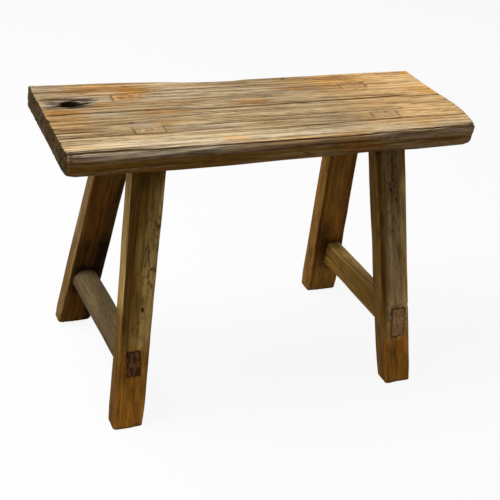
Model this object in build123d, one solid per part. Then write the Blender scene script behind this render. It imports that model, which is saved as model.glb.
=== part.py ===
from build123d import *
import os

# A rustic plank stool: a thick hardwood plank on four splayed legs, with a stretcher at each end.
# Lengths are in millimetres. The origin is on the floor under the middle of the stool,
# +X runs along the seat to the right, +Y runs to the back and +Z is up.

# Seat plank
seat_length = 663.5
seat_height = 452
seat_thickness = 35
seat_width_left = 238
seat_width_right = 229
left_end_skew = 1.5
front_top_wear = 10
arris_wear = 5.5
end_wear = 4.5

# The plank's long edges aren't straight. At points from its left end to its right end: how far along
# its length from the middle, and how far the edge stands out there beyond a straight one, as shares
# of its length and of its right end's width
front_edge_shares = ((-0.5, 0.01), (-0.25, 0.028), (0.15, 0.035), (0.38, 0.011), (0.5, 0.002))
back_edge_shares = (
    (-0.5, 0.035),
    (-0.28, 0.017),
    (-0.14, -0.02),
    (-0.06, -0.04),
    (0.05, -0.024),
    (0.35, -0.002),
    (0.5, 0.002),
)

# The plank's right end is bowed. At points from its front corner to its back corner: how far it is set in
# from the furthest, and how far across the plank that is from the middle, as shares of the plank's length
# and of its right end's width
right_end_shares = ((0.014, -0.502), (0, -0.2), (0.009, 0.12), (0.015, 0.502))

# Knot hole in the plank, near its back left corner
knot_from_left_end = 44.5
knot_behind_middle = 45
knot_length = 34
knot_width = 20
knot_depth = 19
knot_floor_share = 0.55

# Long cracks in the plank's top, opened as the wood dried
crack_width = 2.6
crack_depth = 2.6
end_crack_width = 5.5
end_crack_depth = 5

# The route of each crack, point by point: how far along the plank's length and across its right end's
# width from the middle, and how wide the crack opens there, all as shares
crack_route_shares = {
    "middle": (
        (-0.51, 0.044, 1),
        (-0.191, 0.035, 1),
        (-0.103, 0.018, 1),
        (0.279, 0.031, 0.9),
        (0.416, 0.07, 0.2),
    ),
    "front": ((-0.22, -0.249, 0.2), (-0.103, -0.223, 1), (0.093, -0.227, 1), (0.191, -0.227, 0.2)),
    "front_arris_left": ((-0.23, -0.341, 0.2), (-0.103, -0.345, 0.8), (0.024, -0.345, 0.2)),
    "front_arris_right": ((0.054, -0.341, 0.2), (0.269, -0.328, 1), (0.348, -0.306, 1), (0.426, -0.306, 0.2)),
    "front_inner": ((-0.181, -0.153, 0.2), (-0.064, -0.14, 0.8), (0.152, -0.148, 0.2)),
    "back": (
        (-0.181, 0.284, 0.2),
        (-0.113, 0.249, 1),
        (-0.024, 0.279, 1),
        (0.044, 0.236, 1),
        (0.22, 0.262, 0.2),
    ),
    "left_end": ((-0.51, -0.297, 1), (-0.348, -0.288, 0.2)),
    "right_end": ((0.367, -0.22, 0.2), (0.51, -0.253, 1)),
}
end_crack_route_shares = ((-0.51, 0.301, 1), (-0.446, 0.299, 0.9), (-0.414, 0.275, 0.6), (-0.358, 0.24, 0.15))

# Legs: their width runs along the seat and their depth across it
shoulder_from_seat_end = 136.25
shoulder_spacing_across = 131.5
shoulders_set_back = 2.4
shoulders_set_right = -1.75
foot_spread_lengthwise = 44
foot_spread_crosswise = 85
front_foot_width = 47.5
back_foot_width = 58
foot_depth = 33.5
shoulder_width = 54
shoulder_depth = 29
leg_arris_radius = 5
foot_chamfer = 3

# Tenon on each leg, through the seat, spread by a wedge
leg_tenon_width = 43
leg_tenon_depth = 22
leg_wedge_length = 25
leg_wedge_thick_end = 5
leg_wedge_thin_end = 1.5

# Left stretcher, a round pole
pole_diameter = 44
pole_height_front = 105
pole_height_back = 99

# Right stretcher, a flat bar on edge, set out from the middle of its legs
bar_width = 28
bar_height = 48
bar_arris_radius = 7
bar_height_front = 108
bar_height_back = 94
bar_outset_front = 4
bar_outset_back = 8

# Tenons on the stretchers, through the legs, each with a wedge above it
pole_tenon_width = 20
pole_tenon_height = 27
bar_tenon_width = 22
bar_tenon_height = 34
pole_wedge_height = 10
bar_wedge_height = 12
wedge_rise_share = 0.12
wedge_inner_end_share = -0.4

# Room left between pieces that fit into each other
fit_gap = 0.1

# How far a cutting shape runs past what it cuts
overrun = 300

# Each leg's side along X and along Y
leg_sides = {
    "front_left": (-1, -1),
    "front_right": (1, -1),
    "back_left": (-1, 1),
    "back_right": (1, 1),
}

# How far each foot stands outwards of its even place, as a share of the leg's width there
foot_outset_shares = {
    "front_left": -0.078,
    "front_right": 0.044,
    "back_left": 0.101,
    "back_right": -0.034,
}

seat_underside = seat_height - seat_thickness


def foot_width(leg):
    """A leg's width along the seat at the floor."""
    return front_foot_width if leg.startswith("front") else back_foot_width


def leg_middle(leg, height):
    """The point on a leg's middle line at a height."""
    side_x, side_y = leg_sides[leg]
    shoulder_reach = seat_length / 2 - shoulder_from_seat_end
    foot_reach = shoulder_reach + foot_spread_lengthwise + foot_outset_shares[leg] * foot_width(leg)
    shoulder_x = side_x * shoulder_reach + shoulders_set_right
    shoulder_y = side_y * shoulder_spacing_across / 2 + shoulders_set_back
    foot_x = side_x * foot_reach
    foot_y = side_y * (shoulder_spacing_across / 2 + foot_spread_crosswise)
    rise_share = height / seat_underside
    x = foot_x + (shoulder_x - foot_x) * rise_share
    y = foot_y + (shoulder_y - foot_y) * rise_share
    return Vector(x, y, height)


def taper(low_middle, low_size, high_middle, high_size):
    """A solid with flat sides between two level rectangles."""
    low_face = Pos(*low_middle) * Rectangle(*low_size)
    high_face = Pos(*high_middle) * Rectangle(*high_size)
    return loft([low_face.face(), high_face.face()], ruled=True)


def along_leg(leg, low, low_size, high, high_size):
    """A taper between two heights that follows a leg's middle line."""
    return taper(leg_middle(leg, low), low_size, leg_middle(leg, high), high_size)


def room_past(leg, depth_share):
    """The room from a plane in a leg outwards, away from the middle of the stool.

    The plane is the leg's inner face at a share of -0.5 and its outer face at 0.5.
    """
    side_y = leg_sides[leg][1]
    foot, shoulder = leg_middle(leg, 0), leg_middle(leg, seat_underside)
    foot_shift = side_y * (foot_depth * depth_share + overrun / 2)
    shoulder_shift = side_y * (shoulder_depth * depth_share + overrun / 2)
    size = (overrun, overrun)
    return taper(foot + (0, foot_shift, 0), size, shoulder + (0, shoulder_shift, 0), size)


def stretcher_frame(side, height_front, height_back, outset_front, outset_back):
    """The middle of a stretcher, with local Z along it to the front and local Y up, and half its run."""
    side_x = leg_sides["front_" + side][0]
    front = leg_middle("front_" + side, height_front) + (side_x * outset_front, 0, 0)
    back = leg_middle("back_" + side, height_back) + (side_x * outset_back, 0, 0)
    forward = (front - back).normalized()
    level = Vector(0, 0, 1).cross(forward)
    frame = Plane(origin=(front + back) / 2, x_dir=level, z_dir=forward)
    return frame, (front - back).length / 2


def tenon_bar(frame, half_run, width, height, wedge_height, gap):
    """The bar of wood that both tenons of a stretcher are cut from, or with a gap, the hole for it."""
    reach = 2 * (half_run + foot_depth)
    drop = -wedge_height / 2
    return frame * Pos(0, drop, 0) * Box(width + 2 * gap, height + 2 * gap, reach)


def tenon_wedge(frame, half_run, end, width, height, wedge_height, gap):
    """The tapering strip above a stretcher's tenon, at its front (1) or back (-1) end."""
    base = (height - wedge_height) / 2 + gap
    rise = wedge_rise_share * foot_depth
    near, far = end * (half_run - foot_depth), end * (half_run + foot_depth)
    near_top = base + wedge_height - rise
    far_top = base + wedge_height + rise
    # Drawn on a plane whose own X is the stretcher's Z and whose own Y is the stretcher's Y.
    side_on = frame * Plane(origin=(0, 0, 0), x_dir=(0, 0, 1), z_dir=(-1, 0, 0))
    outline = Polygon((near, base), (far, base), (far, far_top + gap), (near, near_top + gap), align=None)
    return extrude(side_on * outline, amount=width / 2 + gap, both=True)


def crack_room(route_shares, width, depth):
    """The room of a crack in the plank's top, with upright sides, along its route."""
    back_side = []
    front_side = []
    for along_share, across_share, open_share in route_shares:
        x, y = along_share * seat_length, across_share * seat_width_right
        back_side.append((x, y + open_share * width / 2))
        front_side.insert(0, (x, y - open_share * width / 2))
    outline = Polygon(*back_side, *front_side, align=None)
    return extrude(Pos(0, 0, seat_height - depth) * outline, amount=depth + overrun)


def long_edge(side, edge_shares, left_x, right_x):
    """The plank's front (-1) or back (1) edge, from its left end to its right end."""
    points = []
    for along_share, out_share in edge_shares:
        rise_share = along_share + 0.5
        width = seat_width_left + (seat_width_right - seat_width_left) * rise_share
        y = side * (width / 2 + out_share * seat_width_right)
        points.append((left_x + (right_x - left_x) * rise_share, y))
    return Spline(*points)


def plank_outline():
    """The plank's outline seen from above, with wandering long edges and a bowed right end."""
    half_length = seat_length / 2
    end_points = []
    for set_in_share, across_share in right_end_shares:
        end_points.append((half_length - set_in_share * seat_length, across_share * seat_width_right))
    right_end = Spline(*end_points)
    front = long_edge(-1, front_edge_shares, -half_length, end_points[0][0])
    back = long_edge(1, back_edge_shares, left_end_skew - half_length, end_points[-1][0])
    left_end = Line(front @ 0, back @ 0)
    return make_face([front, right_end, back, left_end])


def make_seat():
    """The plank, with slanted mortises for the legs, a knot hole and the long cracks."""
    half_length = seat_length / 2
    plank = extrude(Pos(0, 0, seat_underside) * plank_outline(), amount=seat_thickness)

    top = plank.faces().sort_by(Axis.Z)[-1]
    plank = fillet(top.edges().sort_by(Axis.Y)[0], front_top_wear)
    underside, *_, top = plank.faces().sort_by(Axis.Z)
    lower_edges = underside.edges().sort_by(Axis.Y)
    plank = fillet([top.edges().sort_by(Axis.Y)[-1], lower_edges[0], lower_edges[-1]], arris_wear)
    left_end, *_, right_end = plank.faces().sort_by(Axis.X)
    plank = fillet(left_end.edges() + right_end.edges(), end_wear)

    for leg in leg_sides:
        size = (leg_tenon_width + 2 * fit_gap, leg_tenon_depth + 2 * fit_gap)
        plank -= along_leg(leg, seat_underside - overrun, size, seat_height + overrun, size)

    mouth = Ellipse(knot_length / 2, knot_width / 2)
    floor = Ellipse(knot_length / 2 * knot_floor_share, knot_width / 2 * knot_floor_share)
    knot_x = knot_from_left_end - half_length
    knot_mouth = Pos(knot_x, knot_behind_middle, seat_height) * mouth
    knot_floor = Pos(knot_x, knot_behind_middle, seat_height - knot_depth) * floor
    plank -= loft([knot_mouth.face(), knot_floor.face()], ruled=True)

    for route_shares in crack_route_shares.values():
        plank -= crack_room(route_shares, crack_width, crack_depth)
    return plank - crack_room(end_crack_route_shares, end_crack_width, end_crack_depth)


def make_leg(leg, mortises):
    """A tapering post with eased arrises, a wedged tenon on top and a mortise for its stretcher."""
    foot_size = (foot_width(leg), foot_depth)
    shoulder_size = (shoulder_width, shoulder_depth)
    post = along_leg(leg, 0, foot_size, seat_underside, shoulder_size)
    long_edges = post.edges().group_by(Axis.Z)[1]
    post = fillet(long_edges, leg_arris_radius)
    post = chamfer(post.faces().sort_by(Axis.Z)[0].edges(), foot_chamfer)

    tenon_size = (leg_tenon_width, leg_tenon_depth)
    post += along_leg(leg, seat_underside, tenon_size, seat_height, tenon_size)
    for mortise in mortises:
        post -= mortise
    return post - leg_wedge(leg, fit_gap)


def leg_wedge(leg, gap):
    """The wedge in the top of a leg's tenon, or with a gap, the slot for it."""
    thin = (leg_wedge_thin_end + 2 * gap, leg_tenon_depth + 2 * gap)
    thick = (leg_wedge_thick_end + 2 * gap, leg_tenon_depth + 2 * gap)
    return along_leg(leg, seat_height - leg_wedge_length, thin, seat_height, thick)


def make_stretcher(side, frame, half_run, body, tenon_size, wedge_height):
    """A stretcher, the mortise shapes for its legs and its two wedges."""
    ends = {"front_" + side: 1, "back_" + side: -1}
    tenons = tenon_bar(frame, half_run, *tenon_size, wedge_height, 0)
    for leg in ends:
        body -= room_past(leg, -0.5)
        tenons -= room_past(leg, 0.5)

    mortises = {}
    wedges = {}
    for leg, end in ends.items():
        bar_room = tenon_bar(frame, half_run, *tenon_size, wedge_height, fit_gap)
        wedge_room = tenon_wedge(frame, half_run, end, *tenon_size, wedge_height, fit_gap)
        mortises[leg] = [bar_room, wedge_room]
        wedge = tenon_wedge(frame, half_run, end, *tenon_size, wedge_height, 0)
        wedges[leg] = (wedge & room_past(leg, wedge_inner_end_share)) - room_past(leg, 0.5)
    return body + tenons, mortises, wedges


def make_left_stretcher():
    """The round pole between the left legs."""
    frame, half_run = stretcher_frame("left", pole_height_front, pole_height_back, 0, 0)
    body = frame * Cylinder(pole_diameter / 2, 2 * half_run)
    tenon_size = (pole_tenon_width, pole_tenon_height)
    return make_stretcher("left", frame, half_run, body, tenon_size, pole_wedge_height)


def make_right_stretcher():
    """The flat bar between the right legs."""
    frame, half_run = stretcher_frame(
        "right", bar_height_front, bar_height_back, bar_outset_front, bar_outset_back
    )
    section = frame * RectangleRounded(bar_width, bar_height, bar_arris_radius)
    body = extrude(section, amount=half_run, both=True)
    tenon_size = (bar_tenon_width, bar_tenon_height)
    return make_stretcher("right", frame, half_run, body, tenon_size, bar_wedge_height)


pole, pole_mortises, pole_wedges = make_left_stretcher()
bar, bar_mortises, bar_wedges = make_right_stretcher()
mortises = pole_mortises | bar_mortises

nodes = {"seat_plank": make_seat(), "stretcher_left": pole, "stretcher_right": bar}
for leg in leg_sides:
    nodes["leg_" + leg] = make_leg(leg, mortises[leg])
    nodes["leg_wedge_" + leg] = leg_wedge(leg, 0)
for leg, wedge in (pole_wedges | bar_wedges).items():
    nodes["stretcher_wedge_" + leg] = wedge

os.makedirs("parts", exist_ok=True)
for name, solid in nodes.items():
    export_step(solid, "parts/" + name + ".step")
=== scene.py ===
import itertools
import math
import bmesh
import bpy
import numpy as np
from mathutils import Matrix, Vector


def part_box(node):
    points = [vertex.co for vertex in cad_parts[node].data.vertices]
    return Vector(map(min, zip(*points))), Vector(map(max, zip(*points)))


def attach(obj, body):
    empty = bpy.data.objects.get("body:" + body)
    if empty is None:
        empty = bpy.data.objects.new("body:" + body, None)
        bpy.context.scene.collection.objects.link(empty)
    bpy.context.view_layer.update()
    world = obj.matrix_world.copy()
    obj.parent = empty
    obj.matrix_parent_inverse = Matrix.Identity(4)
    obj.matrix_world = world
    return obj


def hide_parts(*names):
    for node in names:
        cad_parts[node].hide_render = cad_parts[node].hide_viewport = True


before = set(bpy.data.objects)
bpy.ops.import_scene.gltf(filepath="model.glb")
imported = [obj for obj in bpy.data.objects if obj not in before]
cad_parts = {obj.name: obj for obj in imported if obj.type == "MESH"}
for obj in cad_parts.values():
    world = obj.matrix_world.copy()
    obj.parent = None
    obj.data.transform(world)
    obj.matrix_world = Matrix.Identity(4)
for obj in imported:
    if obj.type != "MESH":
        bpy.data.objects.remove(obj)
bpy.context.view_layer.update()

# An old plank stool. Lengths are in metres and angles in degrees, unless a name says otherwise.
# A timber is worked on the bench first: it lies along X from its butt at the origin to its tip,
# with its width along Y and its depth along Z. Then it is set in its place in the stool.

ACROSS, BACK, UP = Vector((1, 0, 0)), Vector((0, 1, 0)), Vector((0, 0, 1))
LEGS = ("front_left", "front_right", "back_left", "back_right")

# The camera: the photograph was taken from the front left and is tilted a little
FOCAL_LENGTH_MM = 76.78
CAMERA_PLACE = (-0.64566, -1.38156, 1.07690)
CAMERA_AZIMUTH = -25.49
CAMERA_ELEVATION = 29.99
CAMERA_ROLL = 6.94
SENSOR_WIDTH_MM = 36
NEAREST_SEEN = 0.05

# Room round a tenon in its mortise, as it shows at the surface, in the seat and in the legs
JOINT_ROOM = 0.00015
RAIL_JOINT_ROOM = 0.0006

# How deep a tenon's root goes into its own post or pole
TENON_ROOT = 0.012

# How far the pole and the bar are let into the legs
HOUSING = 0.0015

# The tenons of the stretchers: how far they stay inside the leg's face, and their length from root to end
TENON_RECESS = 0.0004
TENON_LENGTH = 0.046

# How unevenly the tops of the legs' tenons have sunk
TENON_SINK = 0.0003

# How far a cutter runs past what it cuts
CUTTER_OVERRUN = 0.020
KNOT_OVERRUN = 0.004

# Seat plank
SEAT_ROWS = ((10, 9), (15, 24), (5, 4))
SEAT_END_ROWS = (0.0008, 0.0018, 0.0030, 0.0050, 0.0075)
SEAT_ARRIS = 0.0055
SEAT_END_ARRIS = 0.0025
SEAT_CORNER_ARRIS = 0.0090
LOW_CORNER_ARRIS = 0.0070

# How far from the front edge the rounder corners of the plank begin, and where they are full
CORNER_BAND = (0.024, 0.004)

# The plank from above: its width at the left and the right end, and how far its long edges stand out
# beyond a straight one, at points from the left end (0) to the right end (1)
PLANK_WIDTHS = (0.2380, 0.2290)
FRONT_EDGE = ((0.0, 0.0023), (0.25, 0.0064), (0.65, 0.0080), (0.88, 0.0025), (1.0, 0.0005))
BACK_EDGE = ((0.0, 0.0080), (0.22, 0.0039), (0.36, -0.0046), (0.44, -0.0092), (0.55, -0.0055),
             (0.85, -0.0005), (1.0, 0.0005))

# How far its ends are set in, at points from its front (-1) to its back (1)
LEFT_END = ((-1.0, 0.0), (1.0, 0.0015))
RIGHT_END = ((-1.0, 0.0093), (-0.4, 0.0), (0.24, 0.0060), (1.0, 0.0100))

# The radius of the worn front arris, above and below, at distances from the plank's left end
FRONT_ARRIS = ((0.0, 0.0125), (0.13, 0.0120), (0.20, 0.0100), (0.33, 0.0070), (0.40, 0.0050),
               (0.65, 0.0050))
LOWER_ARRIS = ((0.17, 0.0030), (0.25, 0.0060), (0.33, 0.0100), (0.46, 0.0110), (0.50, 0.0100),
               (0.56, 0.0030))

# How much these radii vary along the arris
FRONT_WANDER, LOWER_WANDER = 0.5, 0.4

# How far the foot of the right end is set in from its top
RIGHT_END_LEAN = 0.0040

# The long cracks along the plank: the route from the middle of the seat, the width and the depth
SEAT_CRACKS = (
    (((-0.329, 0.010), (-0.257, 0.010), (-0.126, 0.008), (-0.078, 0.004), (0.040, 0.005),
      (0.185, 0.007), (0.237, 0.011), (0.274, 0.016)), 0.0030, 0.0036),
    (((-0.329, 0.069), (-0.293, 0.0685), (-0.272, 0.063), (-0.236, 0.055)), 0.0042, 0.0060),
    (((-0.323, 0.042), (-0.287, 0.043), (-0.251, 0.048)), 0.0060, 0.0034),
    (((0.037, -0.078), (0.128, -0.075), (0.181, -0.075), (0.229, -0.070), (0.285, -0.070)),
     0.0024, 0.0026),
    (((-0.155, -0.078), (-0.062, -0.079), (0.020, -0.079), (0.082, -0.079)), 0.0020, 0.0016),
    (((-0.148, -0.057), (-0.067, -0.051), (-0.001, -0.052), (0.095, -0.052), (0.131, -0.052)),
     0.0022, 0.0022),
    (((-0.125, -0.035), (-0.043, -0.032), (0.023, -0.034), (0.104, -0.034)), 0.0018, 0.0014),
    (((-0.123, 0.065), (-0.076, 0.057), (-0.019, 0.064), (0.026, 0.054), (0.149, 0.060)), 0.0022, 0.0018),
    (((-0.330, -0.068), (-0.277, -0.066), (-0.220, -0.066)), 0.0022, 0.0020),
    (((-0.327, -0.076), (-0.254, -0.086), (-0.159, -0.088)), 0.0018, 0.0014),
    (((-0.318, -0.023), (-0.278, -0.025), (-0.236, -0.021)), 0.0018, 0.0014),
    (((0.237, -0.050), (0.282, -0.055), (0.323, -0.058)), 0.0022, 0.0018),
    (((0.246, -0.024), (0.324, -0.021)), 0.0018, 0.0014),
    (((0.131, 0.060), (0.174, 0.058), (0.219, 0.052)), 0.0020, 0.0016),
)

# Along a crack: how far it wanders, how soon it fades out and how open it is at its very end
CRACK_WANDER = 0.0016
CRACK_FADE = 0.02
CRACK_OPEN_END = 0.1

# The stain along the cracks: how much wider it is than they are, and the depth that is quite dark
STAIN_WIDENING = 1.5
STAIN_DEPTH = 0.0018

# How deep each cause has worn the plank, and the share of it that the underside is spared
SEAT_WEAR = {"all over": 0.0001, "hollows": 0.0009, "grooves": 0.0007, "lines": 0.0010, "chips": 0.0016,
             "knot": 0.0014, "arris line": 0.0014, "ends": 0.0005, "left end": 0.0011}
UNDERSIDE_SPARED = 0.7

# How much of the hollows and of the grain's wear the lower half of the plank keeps, and the depth of
# the shallowest grooves as a share of the deepest
LOW_HOLLOWS, LOW_GRAIN = 0.3, 0.4
LEAST_GROOVE = 0.4

# How deep each cause has worn the legs and the stretchers
POST_WEAR = {"hollows": 0.0006, "grooves": 0.0005, "lines": 0.0006, "rail": 0.0006}

# Where parts of the plank begin and where they are full: below its top and above its underside,
# towards its front, where that is chipped, and towards its left end
TOP_BAND, UNDER_BAND = 0.006, 0.004
FRONT_BAND, CHIPPED_BAND, LEFT_BAND = (0.078, 0.100), (0.085, 0.112), (0, 0.1)

# The plank's ends: how far in their end wood shows, their pits go and their checks go
END_WOOD = 0.02
PIT_REACH = 0.006
CHECK_REACH = (0.004, 0.022)

# The dark lines of the grain: how far apart they lie, how they slant, wander and shift, how wide
# they are at the least and beyond that, and how their strength falls off from their middle
LINE_SPACING = 0.0110
FAINT_SPACING = 0.45 * LINE_SPACING
POST_LINE_SPACING = 0.0090
LINE_SLANT = 0.7
LINE_WANDER = 0.016
LINE_SHIFT = 0.7
LINE_WIDTHS = (0.0007, 0.0010)
LINE_FALL = (1.9, 1.7)

# The strength below which rare and common lines are left out, how soon a line is full above it, and
# how strong the seat's faint lines are
RARE_LINES, COMMON_LINES, LINE_FADE = 0.45, 0.35, 0.25
FAINT_STRENGTH = 0.55

# The turns of the random fields: for the seat's lines and grooves, for the broken ends of wedges and
# of stretchers, and for the first leg and the first stretcher
STRONG_LINES, FAINT_LINES, SEAT_GROOVES = 33, 43, 12
WEDGE_ENDS, RAIL_ENDS = 50, 60
FIRST_LEG, FIRST_RAIL = 1, 11

# The dark line along the front arris: its place as a share of the radius, how it wanders, how wide
# it is at the least and beyond that, and how dark its middle is
ARRIS_LINE_PLACE = 0.40
ARRIS_LINE_WANDER = 0.0036
ARRIS_LINE_WIDTHS = (0.00098, 0.00168)
ARRIS_LINE_STRENGTH = 1.8

# Small dark spots on the seat: the place from its middle, the reach both ways and the darkness
DARK_SPOTS = (
    (0.174, 0.065, 0.006, 0.004, 0.8), (0.19, 0.072, 0.006, 0.0035, 0.7),
    (0.215, 0.073, 0.007, 0.0035, 0.9), (0.216, 0.06, 0.005, 0.004, 0.8), (0.197, 0.066, 0.026, 0.005, 0.4),
    (0.188, -0.04, 0.006, 0.004, 0.6), (0.193, -0.049, 0.005, 0.004, 0.7),
    (0.228, -0.018, 0.007, 0.004, 0.8), (0.23, -0.034, 0.005, 0.004, 0.8),
    (0.212, -0.03, 0.02, 0.006, 0.35), (-0.214, -0.031, 0.005, 0.004, 0.9),
    (-0.209, -0.053, 0.006, 0.003, 0.8), (-0.198, -0.058, 0.006, 0.003, 0.9),
    (-0.19, -0.056, 0.006, 0.003, 0.9), (-0.16, -0.043, 0.005, 0.004, 0.6),
    (-0.184, 0.101, 0.009, 0.004, 0.8), (-0.211, 0.073, 0.006, 0.004, 0.8),
    (-0.204, 0.061, 0.01, 0.004, 0.8), (-0.187, 0.065, 0.008, 0.004, 0.7),
    (-0.196, 0.082, 0.012, 0.003, 0.5), (-0.159, 0.078, 0.006, 0.004, 0.9),
    (-0.146, 0.068, 0.01, 0.004, 0.6), (-0.2, 0.071, 0.016, 0.01, 0.3), (-0.042, 0.03, 0.016, 0.005, 0.35),
    (0.024, 0.083, 0.012, 0.006, 0.45), (0.051, 0.046, 0.026, 0.007, 0.35),
    (0.082, 0.103, 0.006, 0.008, 0.9),
)

# Knot hole: its middle, its reach at the mouth and at the floor, its depth, and how ragged it is
KNOT_MIDDLE = (-0.2845, 0.0475)
KNOT_MOUTH = (0.0155, 0.0110)
KNOT_FLOOR_SHARE = 0.55
KNOT_DEPTH = 0.019
KNOT_SIDES, KNOT_ROWS = 48, 8
KNOT_RAGGED = 0.26

# How far the wood round the knot is sunk, and how far it is stained
KNOT_SINK = (0.050, 0.024)
KNOT_STAIN = (0.056, 0.028)

# Legs: rows of faces, the arrises of the foot and how much more of it the corners lose, how far up the
# foot is worn, and the other arrises at the least and beyond that
POST_ROWS = ((12, 10), (6, 8), (5, 6))
POST_END_ROWS = (0.0008, 0.0018, 0.0030, 0.0045, 0.0060)
FOOT_ARRIS = {"front_left": 0.0024, "front_right": 0.0026, "back_left": 0.0050, "back_right": 0.0030}
FOOT_CORNER_SHARE = 1.3
FOOT_WORN = 0.030
POST_ARRIS = (0.0020, 0.0026)

# The rows of faces of the cutters, the tenons and the wedges
PLAIN_ROWS = ((1,), (1,), (1,))
TENON_ROWS = ((5,), (20,), (10,))
WEDGE_ROWS = ((6,), (5,), (10,))
JOINT_WEDGE_ROWS = ((6,), (16,), (8,))

# How far round a stretcher's tenon the wood is chipped, and how deep
CHIP_REACH = 0.010
CHIPS = {"front_left": 0.0008, "front_right": 0.0026, "back_left": 0.0008, "back_right": 0.0008}

# How far the left and the right side of a leg have worn in, how squarely such a side faces where that
# begins and is full, and from where to where along the leg it goes, with how softly it ends
WORN_SIDES = {"front_left": (0.0020, 0.0009)}
WORN_FACING = (0.3, 0.9)
WORN_STRETCH = (0.32, 0.92, 0.18)

# How wide the dark seam is beside a stretcher's tenon, how torn the wood is round it and how far, and
# the values of its fibres where the pale ones and the dark ones begin and are full
SEAM_WIDTH = 0.0022
LEFT_SEAMS = {"front_right": 0.0060}
TORN = {"front_right": 1.0, "front_left": 0.2}
TORN_REACH = 0.013
TORN_PALE, TORN_DARK = (0.50, 0.70), (0.42, 0.28)

# An old nail hole: its leg, place and depth, the radius of its mouth and its end, its sides, and how
# far its stain reaches and fades
NAIL_LEG = "front_left"
NAIL_PLACE = (-0.2110, -0.1270, 0.1901)
NAIL_DEPTH = 0.012
NAIL_RADII = (0.0019, 0.0010)
NAIL_SIDES = 16
NAIL_STAIN = (0.0040, 0.0025)

# Stretchers: rows of faces, the sides of the pole and the arrises of the bar with how far they vary
BAR_ROWS = ((8, 6), (6, 5), (8, 5))
RAIL_TENON_ROWS = ((4,), (16,), (20,))
POLE_SIDES = 96
POLE_ROWS = (10, 6)
BAR_ARRIS = 0.007
BAR_ARRIS_SPREAD = (0.7, 0.6)
BAR_END_ARRIS = 0.001

# How far in from the ends of a stretcher its wear begins and is full
RAIL_WORN_FROM = (HOUSING, 4 * HOUSING)

# The stretchers' joints: the arrises of a wedge, above and elsewhere, how far from its end face the
# points of an end lie, how deep they are broken up, and how deep and how far in the left corner is worn
RAIL_WEDGE_ARRISES = (0.0035, 0.0005)
END_FACE = 0.0006
BROKEN_END = 0.0016
BROKEN_CORNER = (0.0020, 0.004)

# How grimy the ends of the stretchers' tenons are
END_GRIME = {"pole_wood": 0.75, "bar_wood": 0.30}

# The wood of each stretcher
RAIL_WOODS = {"left": "pole_wood", "right": "bar_wood"}

# The faces of a leg: the axis that each looks along, and which way
FACES = {"left": (0, -1), "right": (0, 1), "front": (1, -1), "back": (1, 1)}

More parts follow.
